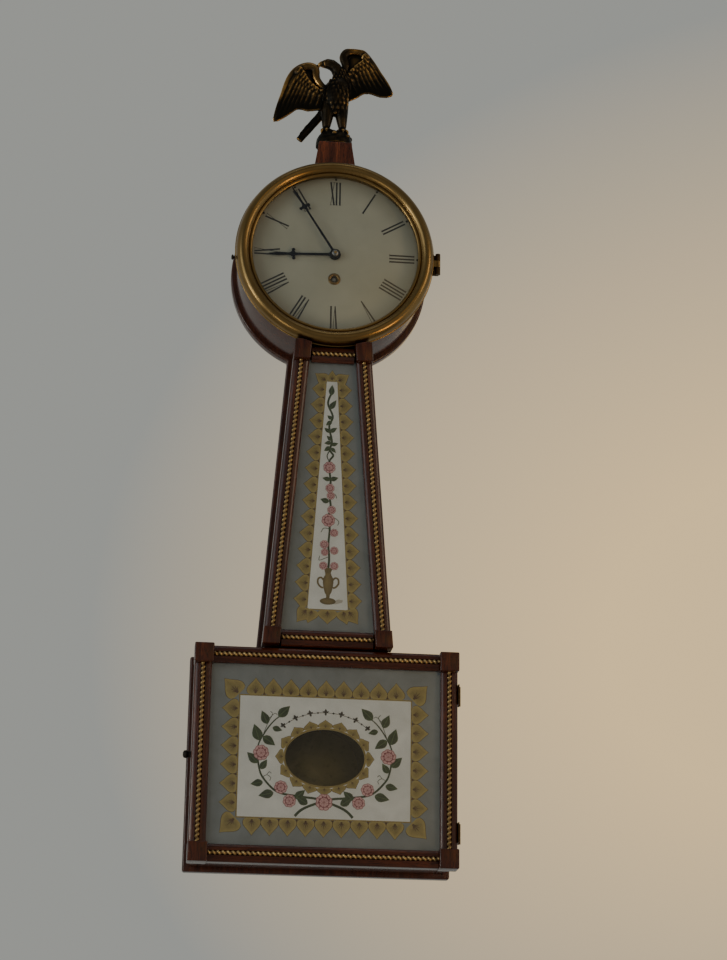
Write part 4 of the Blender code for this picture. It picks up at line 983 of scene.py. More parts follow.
def gold_leaf(tablet, base, tip, half_width, level=2):
    """A gold spade with a pale rim, and at its root a dark spot with short rays."""
    base, tip = Vector(base), Vector(tip)
    along = tip - base
    size = along.length
    middle = tuple(base + along * 0.34)
    tablet.patch("gold", shaped(SPADE, base, tip, half_width), level, (0.95, 0.62, 0.42), middle, 0.62)
    edge = along.normalized() * LEAF_EDGE
    tablet.patch("vein", shaped(SPADE, base, tip + edge, half_width + LEAF_EDGE), level + 0.5)
    root = base + along * 0.13
    tablet.patch("vein", arc(tuple(root), 0.065 * size, 0, 330, 11), level - 1)
    for spread, reach in LEAF_RAYS:
        out = Matrix.Rotation(math.radians(spread), 2) @ along
        tablet.patch("vein", shaped(BLADE, root, root + out * reach, 0.022 * size), level - 1)


def green_leaf(tablet, base, tip, level=1, wide=0.25):
    base, tip = Vector(base), Vector(tip)
    half = (tip - base).length * wide
    tablet.patch("green", shaped(BLADE, base, tip, half), level, (0.42, 0.16, 0.05), None, 0.6)
    rib = [tuple(base.lerp(tip, out)) for out in (0.06, 0.86)]
    tablet.ribbon("green", rib, 0.11 * half + 0.25, level - 1, 0.8)


PETAL_RINGS = ((8, 0.66, 0.37, (0.05, 0.95, 0.60), 0), (6, 0.38, 0.30, (0.05, 0.85, 0.45), 0.5))


def rose(tablet, at, radius, level=1, turn=0.0):
    """A full rose: rings of pale petals with dark edges about a dark heart with a lighter curl."""
    def spot(way, out):
        return polar(at, radius * out, way)

    for petals, out, size, tones, lift in PETAL_RINGS:
        for k in range(petals):
            way = turn + 360 * k / petals + 25 * lift
            lean = Matrix.Rotation(math.radians(way), 2)
            across = radius * size
            outline = [tuple(Vector(spot(way, out)) + lean @ Vector(p))
                       for p in ellipse((0, 0), across, 1.15 * across, 12)]
            heart = spot(way, out - 0.3 * size)
            tablet.patch("rose", outline, level - lift - 0.06 * (k % 3), tones, heart, 0.66)
    for k in range(9):
        way = turn + 40 * k
        stroke = shaped(BLADE, spot(way, 0.44), spot(way + 11, 0.93), 0.062 * radius)
        tablet.patch("rose", stroke, level - 1.2, (0, 0, 0))
        rim = [spot(way + step, 0.52 + 0.13 * math.cos(math.radians(4.5 * step)))
               for step in (-19, -9, 0, 9, 19)]
        tablet.ribbon("rose", rim, 0.085 * radius, level - 1.1, 0.0)
    tablet.patch("rose", arc(at, 0.22 * radius, 0, 330, 11), level - 0.8, (0.0, 0.35, 0.1))
    curl = [spot(turn + 55 * n, 0.15 * (1 - n / 9)) for n in range(8)]
    tablet.ribbon("rose", curl, 0.07 * radius, level - 1.0, 0.75)


def evenly(points, count):
    """Places along a closed line, evenly spaced, each with its outward normal."""
    loop = points + [points[0]]
    runs = [math.dist(a, b) for a, b in zip(loop, loop[1:])]
    total, places = sum(runs), []
    for k in range(count):
        want, at = total * k / count, 0
        while want > runs[at]:
            want -= runs[at]
            at += 1
        a, b = Vector(loop[at]), Vector(loop[at + 1])
        along = (b - a).normalized()
        places.append((a.lerp(b, want / runs[at]), Vector((along.y, -along.x))))
    return places


def border(tablet, start, end, outward_way, count, reach):
    """A row of gold leaves along an edge, with dark gaps between their roots."""
    start, end, out = Vector(start), Vector(end), Vector(outward_way).normalized()
    pitch = (end - start).length / count
    along = (end - start).normalized()
    for k in range(count):
        root = start + along * pitch * (k + 0.5)
        gold_leaf(tablet, root, root + out * reach, 0.49 * pitch)
    for k in range(1, count):
        root = start + along * pitch * k
        gap = [root + along * across + out * up for across, up in ((-1.5, 0.1), (1.5, 0.1), (0, 2.6))]
        tablet.patch("vein", [tuple(p) for p in gap], 1)


def trapezoid(low_half, low_z, top_half, top_z, out=0.0, up=0.0):
    """Four corners about the middle line, moved outwards and apart."""
    a, b = low_half + out, top_half + out
    return [(-a, low_z - up), (a, low_z - up), (b, top_z + up), (-b, top_z + up)]


# One half of the garland, mirrored for the other. Roses are (x, z, radius, turn).
DOOR_STEM = ((-28, -57.5), (-22, -51.5), (-12, -46.5), (6, -40.5), (23, -38.5), (45, -34.7), (59, -22),
             (63.5, -12), (65, 0), (64.5, 12), (57, 26), (50, 35), (44, 40))
DOOR_LEAVES = (((46, 39), (35, 50)), ((56.5, 31.5), (62.5, 44.5)), ((51.5, 28), (42, 25.5)),
               ((64, 15), (69.5, 31)), ((60.5, 19), (48.5, 10.5)), ((65, -7), (75.5, 3)),
               ((62, -13), (56, -3.5)), ((59.5, -25.6), (71.5, -28)), ((49, -35.6), (63.5, -39)),
               ((28, -40.5), (18.5, -32)), ((16, -45.6), (27.5, -38.5)))
DOOR_TENDRILS = (((60, 22), (56, 33), (52, 41), (54, 44)), ((55, 37), (50, 42), (47.5, 41)),
                 ((60, -21), (56, -18.5), (52, -21), (53, -24)), ((56, -18.5), (53.5, -15.5), (51.5, -17)))
DOOR_ROSES = ((62, 3, 7.6, 10), (42, -30, 6.4, 40), (33.5, -43, 6.3, 75))


def branch(tablet, side):
    """Half of the door's garland: a stem, its roses, leaves and tendrils."""
    def line(points):
        return [(side * x, z) for x, z in points]

    tablet.ribbon("green", line(DOOR_STEM), 2.7, 2.4 + 0.3 * side, 0.16, taper=True)
    for leaf in DOOR_LEAVES:
        green_leaf(tablet, *line(leaf), 1.2, 0.30)
    for curve in DOOR_TENDRILS:
        tablet.ribbon("green", line(curve), 0.55, 2.2, 0.12)
    for x, z, radius, turn in DOOR_ROSES:
        rose(tablet, (side * x, z), radius, 0.9, side * turn)


ARCH = (55.5, 44.5)


def arch_band(tablet):
    """A generic arched band over the oval: a fine line with lozenges and dots by turns."""
    def at(turn, lift=0.0):
        turn = math.radians(turn)
        return ((ARCH[0] + lift) * math.sin(turn), (ARCH[1] + lift) * math.cos(turn))

    tablet.ribbon("ink", [at(t) for t in range(-50, 51, 5)], 0.45, 1.6)
    for k in range(-6, 7):
        turn = 7.9 * k
        if k % 2:
            tablet.patch("ink", ellipse(at(turn), 0.95, 0.95, 12), 1.4)
            continue
        tablet.patch("ink", shaped(BLADE, at(turn), at(turn, 4.0), 1.3), 1.4)
        tablet.patch("ink", shaped(BLADE, at(turn), at(turn, -3.0), 1.1), 1.4)
        for side in (-1, 1):
            tablet.patch("ink", shaped(BLADE, at(turn), at(turn + 3.4 * side, 1.6), 0.8), 1.4)


# The door's painting is laid out about its oval. A panel is (half width, z) at its foot, then at its head.
OVAL_Z = -0.532
OVAL = (38.6, 27.7)
DOOR_PANEL = (84.3, -60.0, 84.3, 59.5)


def make_door_tablet():
    """White panel with a garland round an oval window, in a border of gold leaves."""
    a, b = low("door_glass"), high("door_glass")
    tablet = Tablet("door_glass", (0.0, OVAL_Z))
    edge = b.x / MM
    pane = trapezoid(edge, (a.z - OVAL_Z) / MM, edge, (b.z - OVAL_Z) / MM, -FIELD_IN, -FIELD_IN)
    window = ellipse((0, 0), *OVAL, 96)
    ring = ellipse((0, 0), OVAL[0] + 1.8, OVAL[1] + 1.8, 96)
    tablet.sheet("field", pane, window, FIELD_LEVEL, b.y)
    tablet.sheet("panel", trapezoid(*DOOR_PANEL), window, PANEL_LEVEL, tablet.depth(FIELD_LEVEL - 0.05))
    tablet.sheet("line", trapezoid(*DOOR_PANEL, 0.7, 0.7), trapezoid(*DOOR_PANEL, -0.6, -0.6), LINE_LEVEL,
                 tablet.depth(PANEL_LEVEL - 0.05))
    tablet.sheet("ring", ring, window, RING_LEVEL, tablet.depth(PANEL_LEVEL - 0.1))
    half, low_z, _, high_z = DOOR_PANEL
    for z, way in ((low_z - 0.6, -1), (high_z + 0.6, 1)):
        border(tablet, (-half + 6.6, z), (half - 6.6, z), (0, way), 9, 16.6)
    for side in (-1, 1):
        x = side * (half + 0.6)
        border(tablet, (x, low_z + 4.5), (x, high_z - 4.5), (side, 0), 6, 16.2)
        for z, way in ((low_z, -1), (high_z, 1)):
            out = Vector((side, way))
            root = Vector((side * half, z)) + out * 0.8
            gold_leaf(tablet, root, root + out * 14.6, 10.4)
    for root, out in evenly(ellipse((0, 0), OVAL[0] + 1.6, OVAL[1] + 1.6, 240), 16):
        gold_leaf(tablet, root, root + out * 7.8, 6.9)
    for side in (-1, 1):
        branch(tablet, side)
    rose(tablet, (0, -43.3), 8.2, 0.7, 20)
    arch_band(tablet)
    tablet.finish()


# The throat's painting is laid out about the foot of the case. Leaves are (root, tip, share of length wide).
THROAT_Z = -0.637
THROAT_PANEL = (20.5, 254.0, 5.8, 496.4)
VINE = ((0, 484), (-3.7, 472), (1.4, 458), (-2, 447), (1, 431), (-1, 422), (2.6, 416), (-1, 410), (-1, 400),
        (0.5, 388), (-1, 376), (1, 362), (-1, 350), (0.5, 338), (-0.5, 322), (0.5, 308), (0, 297))
VINE_LOOP = ((-1, 409), (-3.6, 415), (-1, 421.5))
VINE_TENDRILS = (
    ((0, 347), (5, 349.5), (9.5, 346), (8.4, 342)), ((0, 309), (-4, 307), (-9.5, 305), (-9, 309.5)),
    ((0, 338), (-5.5, 338.5), (-8.2, 334)), ((0.5, 372), (5.2, 374.5), (7, 370.5)))
VINE_LEAVES = (
    ((-0.6, 481), (0.4, 492.5), 0.26), ((-1.6, 466), (4.8, 476), 0.24), ((0.8, 455), (-4.2, 459), 0.32),
    ((0.4, 453), (-5.4, 448), 0.30), ((-1, 441), (6, 446), 0.28), ((-1, 440.6), (-7, 445.4), 0.28),
    ((0.8, 432), (-4.4, 437), 0.30), ((0.6, 430), (-6.8, 428.6), 0.30), ((0.6, 427), (7.6, 429.4), 0.28),
    ((-0.4, 425), (-6.8, 420.4), 0.32), ((0.4, 424), (5.4, 419), 0.28), ((0.2, 390), (8.4, 392.4), 0.30),
    ((0.2, 390), (-8, 391.6), 0.30), ((-0.8, 366.5), (-9.6, 369), 0.32))
VINE_ROSES = ((-1, 403, 6.2), (0, 381, 4.6), (1, 373, 4.2), (2, 358, 4.4), (-1, 347, 6.8), (5, 334, 4.2),
              (-4.6, 321.5, 4.4), (-4, 313.4, 3.8), (5.4, 315.4, 4.2), (-5.2, 299.4, 4.2), (5.8, 299.4, 4.2))
URN_SIDE = ((1.9, 263.5), (1.6, 267), (1.9, 269.4), (3.4, 272), (4.7, 277), (5.3, 282), (5.2, 286),
            (3.3, 289.4), (2.5, 292), (3.2, 295.2), (4.4, 297.2))
URN_HANDLE = ((4.6, 284.5), (7.0, 287), (10.0, 285.6), (10.2, 281), (7.4, 277.4), (4.8, 276.6))
URN_SHADOW = ((3, 260.5), (8, 260), (14.5, 262), (15, 264.5), (10, 265.2))


def throat_border(tablet):
    """Gold leaves round the tapered panel, with longer ones on its corners and ends."""
    half0, z0, half1, z1 = THROAT_PANEL
    slope = (half0 - half1) / (z1 - z0)
    for side in (-1, 1):
        border(tablet, (side * (half0 + 0.5), z0 + 1), (side * (half1 + 0.5), z1 - 1), (side, slope), 14, 13.6)
        gold_leaf(tablet, (side * half0, z0), (side * 30.3, 240.5), 7.6)
        gold_leaf(tablet, (side * half1, z1), (side * 17.4, 504.2), 6.4)
    gold_leaf(tablet, (0, z1 + 0.4), (0, 508.2), 4.7)
    gold_leaf(tablet, (0, z0 - 0.4), (0, 239.6), 9.6)
    for side in (-1, 1):
        gold_leaf(tablet, (side * 15.4, z0 - 0.4), (side * 19.5, 239.8), 7.4, 2.2)


def make_throat_tablet():
    """Tapered white panel in a border of leaves, with a climbing vine of roses and, low down, an urn."""
    a, b = low("throat_glass"), high("throat_glass")
    tablet = Tablet("throat_glass", (0.0, THROAT_Z))
    top_half = max(v.co.x for v in NODES["throat_glass"].data.vertices if v.co.z > b.z - MM)
    bottom, top = (a.z - THROAT_Z) / MM, (b.z - THROAT_Z) / MM
    field = trapezoid(b.x / MM, bottom, top_half / MM, top, -FIELD_IN, -FIELD_IN)
    tablet.sheet("field", field, None, FIELD_LEVEL, b.y)
    tablet.sheet("panel", trapezoid(*THROAT_PANEL), None, PANEL_LEVEL, tablet.depth(FIELD_LEVEL - 0.05))
    tablet.sheet("line", trapezoid(*THROAT_PANEL, 0.6, 0.6), trapezoid(*THROAT_PANEL, -0.4, -0.5), LINE_LEVEL,
                 tablet.depth(PANEL_LEVEL - 0.05))
    throat_border(tablet)
    tablet.ribbon("green", VINE, 2.1, 2.4, 0.16)
    tablet.ribbon("green", VINE_LOOP, 1.1, 2.5, 0.16)
    for curve in VINE_TENDRILS:
        tablet.ribbon("green", curve, 0.65, 2.3, 0.16)
    for root, tip, wide in VINE_LEAVES:
        green_leaf(tablet, root, tip, 1.2, wide)
    for x, z, radius in VINE_ROSES:
        rose(tablet, (x, z), radius, 0.9, 17 * x + z)
    body = list(URN_SIDE) + [(-x, z) for x, z in reversed(URN_SIDE)]
    tablet.patch("urn", body, 1.9, (0.35, 0.7, 0.95), (-1.2, 283), 0.5)
    tablet.patch("urn", ellipse((0, 262.8), 8.0, 3.5, 32), 2.1, (0.3, 0.55, 0.7))
    for side in (-1, 1):
        tablet.ribbon("urn", [(side * x, z) for x, z in URN_HANDLE], 1.8, 2.0, 0.5)
    tablet.patch("shade", URN_SHADOW, 2.7)
    tablet.finish()


# ---- eagle -----------------------------------------------------------------------------------
# Laid out in millimetres about the eagle's foot: x to the right, y towards the wall, z up.

EAGLE_FOOT = Vector((0, centre("finial_eagle").y, low("finial_eagle").z + 2 * MM))
VOXEL = 0.75 * MM
ROCK_DEPTH = 0.78

# Each wing's long feathers as (root, tip), and its leading edge from the shoulder out, by side.
PRIMARIES = {
    1: [((30, 113), (63.5, 67.5)), ((31, 108), (58, 65)), ((28, 105), (51, 64.5)), ((25, 102.5), (44.5, 66)),
        ((22, 99.5), (38, 68)), ((18, 95), (31, 67)), ((14, 89), (25.5, 62.5)), ((10, 82.5), (18.5, 58.5)),
        ((6.5, 75), (10.5, 54.5))],
    -1: [((-38, 92), (-66.5, 26.5)), ((-35, 88), (-61, 27.5)), ((-33, 84), (-55, 31.5)), ((-31, 80), (-48, 37)),
         ((-28.5, 76), (-41.5, 42.5)), ((-24.5, 72.5), (-36, 43)), ((-20.5, 69.5), (-30, 41.5)),
         ((-14.5, 66.5), (-22.5, 42.5)), ((-8.5, 62.5), (-15.5, 44))],
}
LEADING = {
    1: [(4, 67), (7, 83), (11, 97.5), (8.5, 108.5), (13, 115.5), (22, 117.5), (30, 115), (38, 107), (49, 92.5),
        (58, 79.5), (63, 69)],
    -1: [(-4.5, 64.5), (-14.5, 71.5), (-21, 80.5), (-22.5, 91.5), (-28.5, 94.5), (-36, 93), (-43.5, 88),
         (-50.5, 78), (-57.5, 59.5), (-63, 41.5), (-66, 28.5)],
}


def eagle_point(x, y, z):
    return EAGLE_FOOT + Vector((x, y, z)) * MM


def tapered(points, radii, sides=12, squash=1.0):
    """A round closed form along a line of (x, y, z) points, its depth squashed."""
    bm = bmesh.new()
    rings = []
    last = len(points) - 1
    for k, (point, radius) in enumerate(zip(points, radii)):
        here = Vector(point)
        along = (Vector(points[min(k + 1, last)]) - Vector(points[max(k - 1, 0)])).normalized()
        side = along.cross(Vector((0, 1, 0))).normalized() * radius
        front = side.cross(along) * squash
        rings.append([bm.verts.new(eagle_point(*(here + side * a + front * b)))
                      for a, b in ellipse((0, 0), 1, 1, sides)])
    return outward(skin(bm, rings))


def egg(at, size, lean=0.0):
    bm = bmesh.new()
    bmesh.ops.create_uvsphere(bm, u_segments=28, v_segments=18, radius=1.0)
    turn = Matrix.Rotation(math.radians(lean), 3, "Y")
    for vert in bm.verts:
        vert.co = eagle_point(*(Vector(at) + turn @ Vector([vert.co[i] * size[i] for i in range(3)])))
    return bm


FEATHER_WIDTHS = ((0.0, 0.55), (0.15, 0.8), (0.4, 1.0), (0.65, 1.0), (0.82, 0.86), (0.93, 0.56), (1.0, 0.12))
FEATHER_KEEL = ((-1, 0), (-0.5, 0.55), (-0.08, 0.75), (0, 1.15), (0.08, 0.75), (0.5, 0.55), (1, 0))


def feather(root, tip, half, depth, curl=0.0, keel=1.0):
    """A feather: a keeled blade from root to a rounded tip, its middle raised towards the viewer."""
    root, tip = Vector(root), Vector(tip)
    along = tip - root
    across = Vector((-along.y, along.x)).normalized()
    bm = bmesh.new()
    rows = []
    for out, wide in FEATHER_WIDTHS:
        rise = depth + curl * out * out
        front = [(side, rise - keel * lift * min(1.0, 3 * (1.02 - out))) for side, lift in FEATHER_KEEL]
        back = [(side, rise + 1.0) for side in (0.8, 0, -0.8)]
        row = []
        for side, y in front + back:
            place = root + along * out + across * side * half * wide
            row.append(bm.verts.new(eagle_point(place.x, y, place.y)))
        rows.append(row)
    return outward(skin(bm, rows))


SCALE_ROWS = ((0.05, 0.42), (0.02, 0.28), (0.01, 0.16))


def wing(side):
    """A wing: primaries below, coverts and three rows of scales above, and a rolled leading edge."""
    depth = 1.0 if side > 0 else 0.0
    parts = [web(side, depth)]
    for k, (root, tip) in enumerate(PRIMARIES[side]):
        root, tip = Vector(root), Vector(tip)
        parts.append(feather(root, root.lerp(tip, 0.985), 4.3, depth + 0.12 * k - 1.2, 0.7, 1.8))
        parts.append(feather(root.lerp(tip, 0.05), root.lerp(tip, 0.60), 4.4, depth + 0.2 * k - 3.0, 1.0, 1.6))
        for row, (start, end) in enumerate(SCALE_ROWS):
            shift = Vector((-side * 1.6, -1.2)) * (row % 2)
            one, two = root.lerp(tip, start) + shift, root.lerp(tip, end) + shift
            parts.append(feather(one, two, 4.1, depth + 0.2 * k - 4.4 - 0.9 * row, 1.0, 1.8))
    line = smooth_line(LEADING[side], 3)
    count = len(line)
    radii = []
    for k in range(count):
        full = 2.4 + 2.6 * math.sin(math.pi * min(1.0, 1.25 * k / (count - 1))) ** 0.8
        radii.append(full * (1 if k < 0.7 * count else max(0.32, 1 - 1.9 * (k / count - 0.7))))
    spine = [(x, depth - 3.0 + 2.4 * k / count, z) for k, (x, z) in enumerate(line)]
    parts.append(tapered(spine, radii, 14, 0.85))
    return parts


def web(side, depth):
    """The closed sheet of the wing, under its feathers and out to their tips."""
    tips = smooth_line([tip for _, tip in PRIMARIES[side]], 2)
    outline = [(x * MM, EAGLE_FOOT.z + z * MM) for x, z in smooth_line(LEADING[side], 3) + tips]
    return slab(outline, EAGLE_FOOT.y + (depth - 0.7) * MM, EAGLE_FOOT.y + (depth + 2.0) * MM)


# A toe's points as (out, up) from the foot.
TOE = ((0, 0), (3.2, 0.6), (6, -1.2), (7.4, -4.4))


def talons(x, lean):
    """A feathered thigh, shank and foot with three toes gripping the rock and one behind."""
    thigh = [(x * 0.9 + 1, -1, 51), (x + lean * 0.2, -2, 41), (x + lean * 0.6, -2.5, 31), (x + lean, -2.5, 22)]
    shank = [(x + lean, -2.5, 25), (x + lean, -2.8, 15.5)]
    parts = [tapered(thigh, [8.2, 7.6, 6.0, 4.4], 16, 0.95), tapered(shank, [4.2, 3.2], 12)]
    foot = Vector((x + lean, -3, 17.5))
    for spread in (-55, 0, 55, 180):
        way = Vector((math.sin(math.radians(spread)), -math.cos(math.radians(spread)), 0))
        toe = [foot + way * out + Vector((0, 0, up)) for out, up in TOE]
        parts.append(tapered(toe, [2.6, 2.4, 1.9, 0.8], 10))
    return parts


NECK = ((4.5, -1, 67), (4.6, -1.5, 77), (3.4, -2.5, 87), (0, -3.5, 94), (-4.5, -4, 97.3), (-9.5, -4.2, 98.3),
        (-13.5, -4.2, 97.5))
BEAK = ((-12.5, -4.2, 98.0), (-15.8, -4.2, 97.6), (-18.0, -4.2, 96.2), (-18.8, -4.2, 93.8))


def eagle_head():
    """Neck, hooked beak with its lower half, eye and brow, and the neck's short feathers."""
    parts = [tapered(NECK, [10.5, 8.0, 6.6, 6.4, 6.2, 5.7, 4.3], 20, 0.95),
             tapered(BEAK, [3.9, 3.4, 2.4, 0.9], 12, 0.8),
             tapered([(-11.5, -4.2, 94.8), (-15.4, -4.2, 94.4)], [2.4, 1.2], 10, 0.8),
             egg((-9.6, -8.3, 99.0), (1.3, 0.9, 1.2)),
             tapered([(-6.4, -8.4, 100.8), (-12.4, -7.9, 99.8)], [0.8, 0.7], 8)]
    for row in range(6):
        z = 91.5 - 4.4 * row
        bulge = 6.6 + 0.55 * row
        for k in range(5):
            x = 3.0 * k - 2.2 - 0.24 * abs(row - 2) + 0.125 * row * (k - 2) + 1.5 * (row % 2)
            inside = 1 - ((x - 4.2) / (bulge + 1.5)) ** 2
            if inside > 0.05:
                depth = -1.1 - bulge * math.sqrt(inside)
                parts.append(feather((x, z), (x + 0.4, z - 5.6), 1.75, depth, 0.4, 1.0))
    return parts


def body_feathers():
    """The breast and body, under rows of overlapping feathers."""
    parts = [egg((1, -1, 58.5), (14.2, 12.2, 22.5), -6), egg((3.5, -2, 70), (12.0, 10.5, 13), 0)]
    for row in range(8):
        z = 78.5 - 5.0 * row
        wide = 12.8 - 0.22 * (row - 3.5) ** 2
        count = 6 if row % 2 else 5
        for k in range(count):
            x = 2.2 + wide * (2 * (k + 0.5) / count - 1) * 0.93
            bulge = math.sqrt(max(0.0, 1 - ((x - 2) / 14.2) ** 2 - ((z - 62.5) / 26) ** 2))
            tip = (x + (x - 2) * 0.05, z - 7.4)
            parts.append(feather((x, z), tip, 2.5, -0.1 - 12.4 * bulge, 0.5, 1.0))
    return parts


TAIL = (((-7, 48), (-36.8, 8.0), 4.6), ((-9.5, 49), (-39.5, 11.0), 4.6), ((-8, 46), (-38.2, 9.4), 3.7))
TAIL_CORE = ((-6, 2, 50), (-16, 5, 38), (-27, 7, 23.5), (-37.6, 8.5, 9.7))


def tail():
    core = tapered(TAIL_CORE, [6.5, 4.8, 4.0, 3.9], 14, 0.62)
    return [feather(root, tip, 3.2, depth, 3.0, 1.2) for root, tip, depth in TAIL] + [core]


def rocks():
    """Rough stones heaped on a turned core."""
    draw = random.Random(11)
    parts = [rock_core()]
    for _ in range(34):
        way = draw.uniform(0, 2 * math.pi)
        out = draw.uniform(6, 16.5)
        size = draw.uniform(3.0, 5.2)
        at = (out * math.cos(way), out * math.sin(way) * ROCK_DEPTH, draw.uniform(3.5, 16.5 - 0.35 * out))
        shape = (size, size * draw.uniform(0.7, 1.0), size * draw.uniform(0.6, 0.9))
        parts.append(egg(at, shape, draw.uniform(-30, 30)))
    return parts


ROCK_PROFILE = ((19.6, -2), (20.2, 0), (19.9, 4), (18.9, 8.5), (16.8, 12.4), (12.4, 15), (6.0, 16.2))


def rock_core():
    foot = EAGLE_FOOT
    bm = turned([(r * MM, foot.z + h * MM) for r, h in ROCK_PROFILE], foot.xy, "Z", 48)
    for vert in bm.verts:
        if vert.co.z > foot.z - 1.5 * MM:
            push = noise.noise(vert.co * 160 + Vector((0, 7, 3))) * 1.2 * MM
            flat = Vector((vert.co.x - foot.x, vert.co.y - foot.y, 0)).normalized()
            vert.co -= flat * abs(push)
        vert.co.y = foot.y + ROCK_DEPTH * (vert.co.y - foot.y)
    return bm


def highlight_on_coverts(place):
    """A painted highlight in the casting's tone: most on the wing coverts, little on the tips, tail and rocks.
    """
    x, _, z = (place - EAGLE_FOOT) / MM
    wing = min(1.0, max(0.0, (abs(x) - 14) / 6))
    tips = min(1.0, max(0.0, ((86 if x > 0 else 60) - z) / 14))
    return 0.22 + wing * (0.30 - 0.52 * tips)


def relief_tone(mesh):
    """Gives the tone attribute: how far each point stands out from a smoothed copy of the surface, added to the
    painted highlight on the wing coverts.
    """
    count = len(mesh.vertices)
    near = [[] for _ in range(count)]
    for edge in mesh.edges:
        a, b = edge.vertices
        near[a].append(b)
        near[b].append(a)
    places = [v.co.copy() for v in mesh.vertices]
    smooth = places
    for _ in range(9):
        smooth = [sum((smooth[n] for n in near[k]), smooth[k]) / (len(near[k]) + 1) for k in range(count)]
    values = [(places[k] - smooth[k]).dot(mesh.vertices[k].normal) / MM for k in range(count)]
    attribute = mesh.attributes.new("tone", "FLOAT", "POINT")
    tones = [min(1.0, max(0.0, highlight_on_coverts(p) + 1.5 * v)) for p, v in zip(places, values)]
    attribute.data.foreach_set("value", tones)


def make_eagle():
    """All the eagle's forms grown together into one casting, held inside the CAD eagle's box in width and
    height.
    """
    parts = eagle_head() + body_feathers() + wing(1) + wing(-1) + tail()
    parts += talons(-7.5, -1.5) + talons(6.5, 2.0) + rocks()
    bm = evaluate(join(*parts), ("REMESH", {"mode": "VOXEL", "voxel_size": VOXEL, "adaptivity": 0.0}),
                  ("SMOOTH", {"factor": 0.5, "iterations": 2}))
    a, b = low("finial_eagle"), high("finial_eagle")
    for vert in bm.verts:
        vert.co.z = min(max(vert.co.z, a.z + 1.8 * MM), b.z)
        vert.co.x = min(max(vert.co.x, a.x), b.x)
    made = add("finial_eagle_cast", bm, BRONZE, "case", ("finial_eagle",), 60)
    relief_tone(made.data)


# ---- room, light and camera ------------------------------------------------------------------

FLOOR = ((-3, -4.5, -1.62), (3, 1.2, -1.60))
FLOOR_TONE = (0.55, 0.53, 0.50)


def make_room():
    """A pale floor below the clock; the world stands for the wall."""
    look = Look("pale_floor", Roughness=0.7)
    cloud = look.noise(look.coords(), 1.5, 3.0, 0.5)
    look.set(Base_Color=look.mix(cloud, tuple(0.96 * c for c in FLOOR_TONE), FLOOR_TONE))
    mesh = bpy.data.meshes.new("floor")
    box(*FLOOR).to_mesh(mesh)
    mesh.materials.append(look.material)
    floor = bpy.data.objects.new("floor", mesh)
    bpy.context.scene.collection.objects.link(floor)


def area_light(name, at, aim_z, size, power, color):
    data = bpy.data.lights.new(name, "AREA")
    data.shape, data.size, data.size_y = "RECTANGLE", *size
    data.energy, data.color = power, color
    lamp = bpy.data.objects.new(name, data)
    lamp.location = at
    lamp.rotation_euler = (Vector((0, 0, aim_z)) - Vector(at)).to_track_quat("-Z", "Y").to_euler()
    bpy.context.scene.collection.objects.link(lamp)


# The wall is a cool grey with a warm glow right of the clock; the room in front and above is darker.
GLOW_AT, GLOW_STRETCH, GLOW_EDGE, GLOW_FALL = (0.30, 0, 0.25), (0.8, 0, 1), 1.4, -5.5
WALL_TONES = ((0.345, 0.352, 0.328), (1.0, 0.73, 0.38))
ROOM_WAY, ROOM_TONES = (0, -0.55, 0.7), ((1, 1, 1), (0.260, 0.280, 0.295))
WORLD_STRENGTH = 0.94
LIGHTS = (
    ("window_left", (-1.9, -1.3, 0.1), -0.25, (1.2, 1.5), 6.4, (0.82, 0.92, 1.0)),
    ("lamp_right", (1.7, -1.2, 0.5), -0.2, (0.7, 0.7), 3.4, (1.0, 0.78, 0.54)),
    ("above", (0.1, -1.1, 2.4), -0.1, (1.6, 0.8), 2.5, (0.92, 0.96, 1.0)),
    ("strip_left", (-1.9, -0.9, -0.4), -0.05, (0.20, 0.5), 3.6, (1.0, 0.97, 0.84)),
    ("low_right", (1.1, -0.85, -0.85), -0.05, (0.25, 0.35), 3.0, (1.0, 0.62, 0.27)),
    ("low_left", (-1.2, -1.2, -1.3), -0.1, (0.4, 0.6), 2.0, (1.0, 0.92, 0.74)),
)


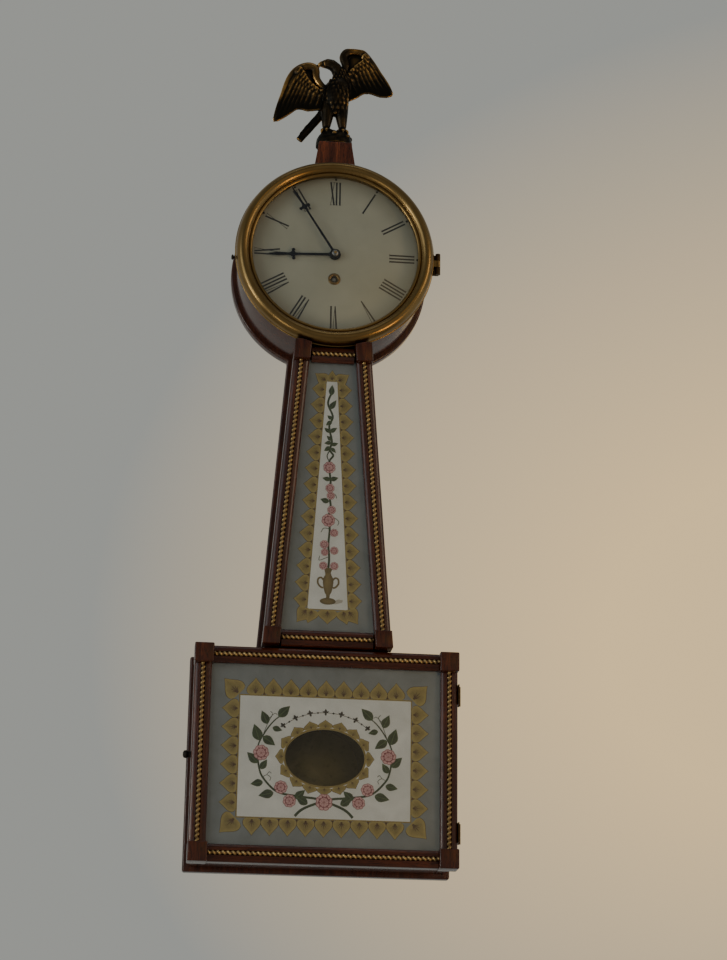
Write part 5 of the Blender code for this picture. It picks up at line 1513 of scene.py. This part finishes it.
def make_light():
    """The world's two tones, multiplied, and the lights. Each light is aimed at a height on the clock."""
    world = bpy.data.worlds.new("room")
    world.use_nodes = True
    nodes, links = world.node_tree.nodes, world.node_tree.links
    back = nodes["Background"]
    back.inputs["Strength"].default_value = WORLD_STRENGTH

    def vector_math(operation, one, two=(0, 0, 0)):
        made = nodes.new("ShaderNodeVectorMath")
        made.operation = operation
        links.new(one, made.inputs[0])
        made.inputs[1].default_value = two
        return made.outputs

    way = nodes.new("ShaderNodeTexCoord").outputs["Generated"]
    off = vector_math("MULTIPLY", vector_math("SUBTRACT", way, GLOW_AT)["Vector"], GLOW_STRETCH)["Vector"]
    glow = nodes.new("ShaderNodeMath")
    glow.operation = "MULTIPLY_ADD"
    links.new(vector_math("LENGTH", off)["Value"], glow.inputs[0])
    glow.inputs[1].default_value, glow.inputs[2].default_value = GLOW_FALL, GLOW_EDGE
    sides, room = nodes.new("ShaderNodeValToRGB"), nodes.new("ShaderNodeValToRGB")
    for ramp, part, stops in ((sides, glow.outputs[0], WALL_TONES),
                              (room, vector_math("DOT_PRODUCT", way, ROOM_WAY)["Value"], ROOM_TONES)):
        for element, tone in zip(ramp.color_ramp.elements, stops):
            element.color = (*tone, 1)
        links.new(part, ramp.inputs["Fac"])
    both = nodes.new("ShaderNodeMix")
    both.data_type, both.blend_type = "RGBA", "MULTIPLY"
    both.inputs[0].default_value = 1.0
    links.new(sides.outputs["Color"], both.inputs[6])
    links.new(room.outputs["Color"], both.inputs[7])
    links.new(both.outputs[2], back.inputs["Color"])
    bpy.context.scene.world = world
    for light in LIGHTS:
        area_light(*light)


# Turns are (yaw, pitch, roll) in degrees, lengths of the lens and sensor in millimetres.
CAMERA_AT = Vector((-0.1928, -2.2113, -0.9628))
CAMERA_TURNS = (6.0595, 18.4701, 0.8498)
FOCAL_LENGTH, SENSOR = 83.883, 36


def make_camera():
    """Below the clock and a little to the left, looking up at it."""
    yaw, pitch, roll = (math.radians(turn) for turn in CAMERA_TURNS)
    ahead = Vector((math.sin(yaw) * math.cos(pitch), math.cos(yaw) * math.cos(pitch), math.sin(pitch)))
    level = Vector((math.cos(yaw), -math.sin(yaw), 0))
    over = level.cross(ahead)
    right = level * math.cos(roll) + over * math.sin(roll)
    up = over * math.cos(roll) - level * math.sin(roll)
    data = bpy.data.cameras.new("camera")
    data.sensor_fit, data.sensor_width, data.sensor_height = "AUTO", SENSOR, SENSOR
    data.lens, data.clip_start = FOCAL_LENGTH, 0.05
    camera = bpy.data.objects.new("camera", data)
    turn = Matrix((right, up, -ahead)).transposed().to_4x4()
    camera.matrix_world = Matrix.Translation(CAMERA_AT) @ turn
    bpy.context.scene.collection.objects.link(camera)
    bpy.context.scene.camera = camera


def main():
    make_camera()
    make_light()
    make_room()
    make_boards()
    make_frames()
    make_bezel()
    make_bezel_glass()
    make_dial()
    make_hands()
    make_inside()
    make_interior_shade()
    make_fittings()
    make_door_tablet()
    make_throat_tablet()
    make_eagle()
    bpy.context.view_layer.update()


main()
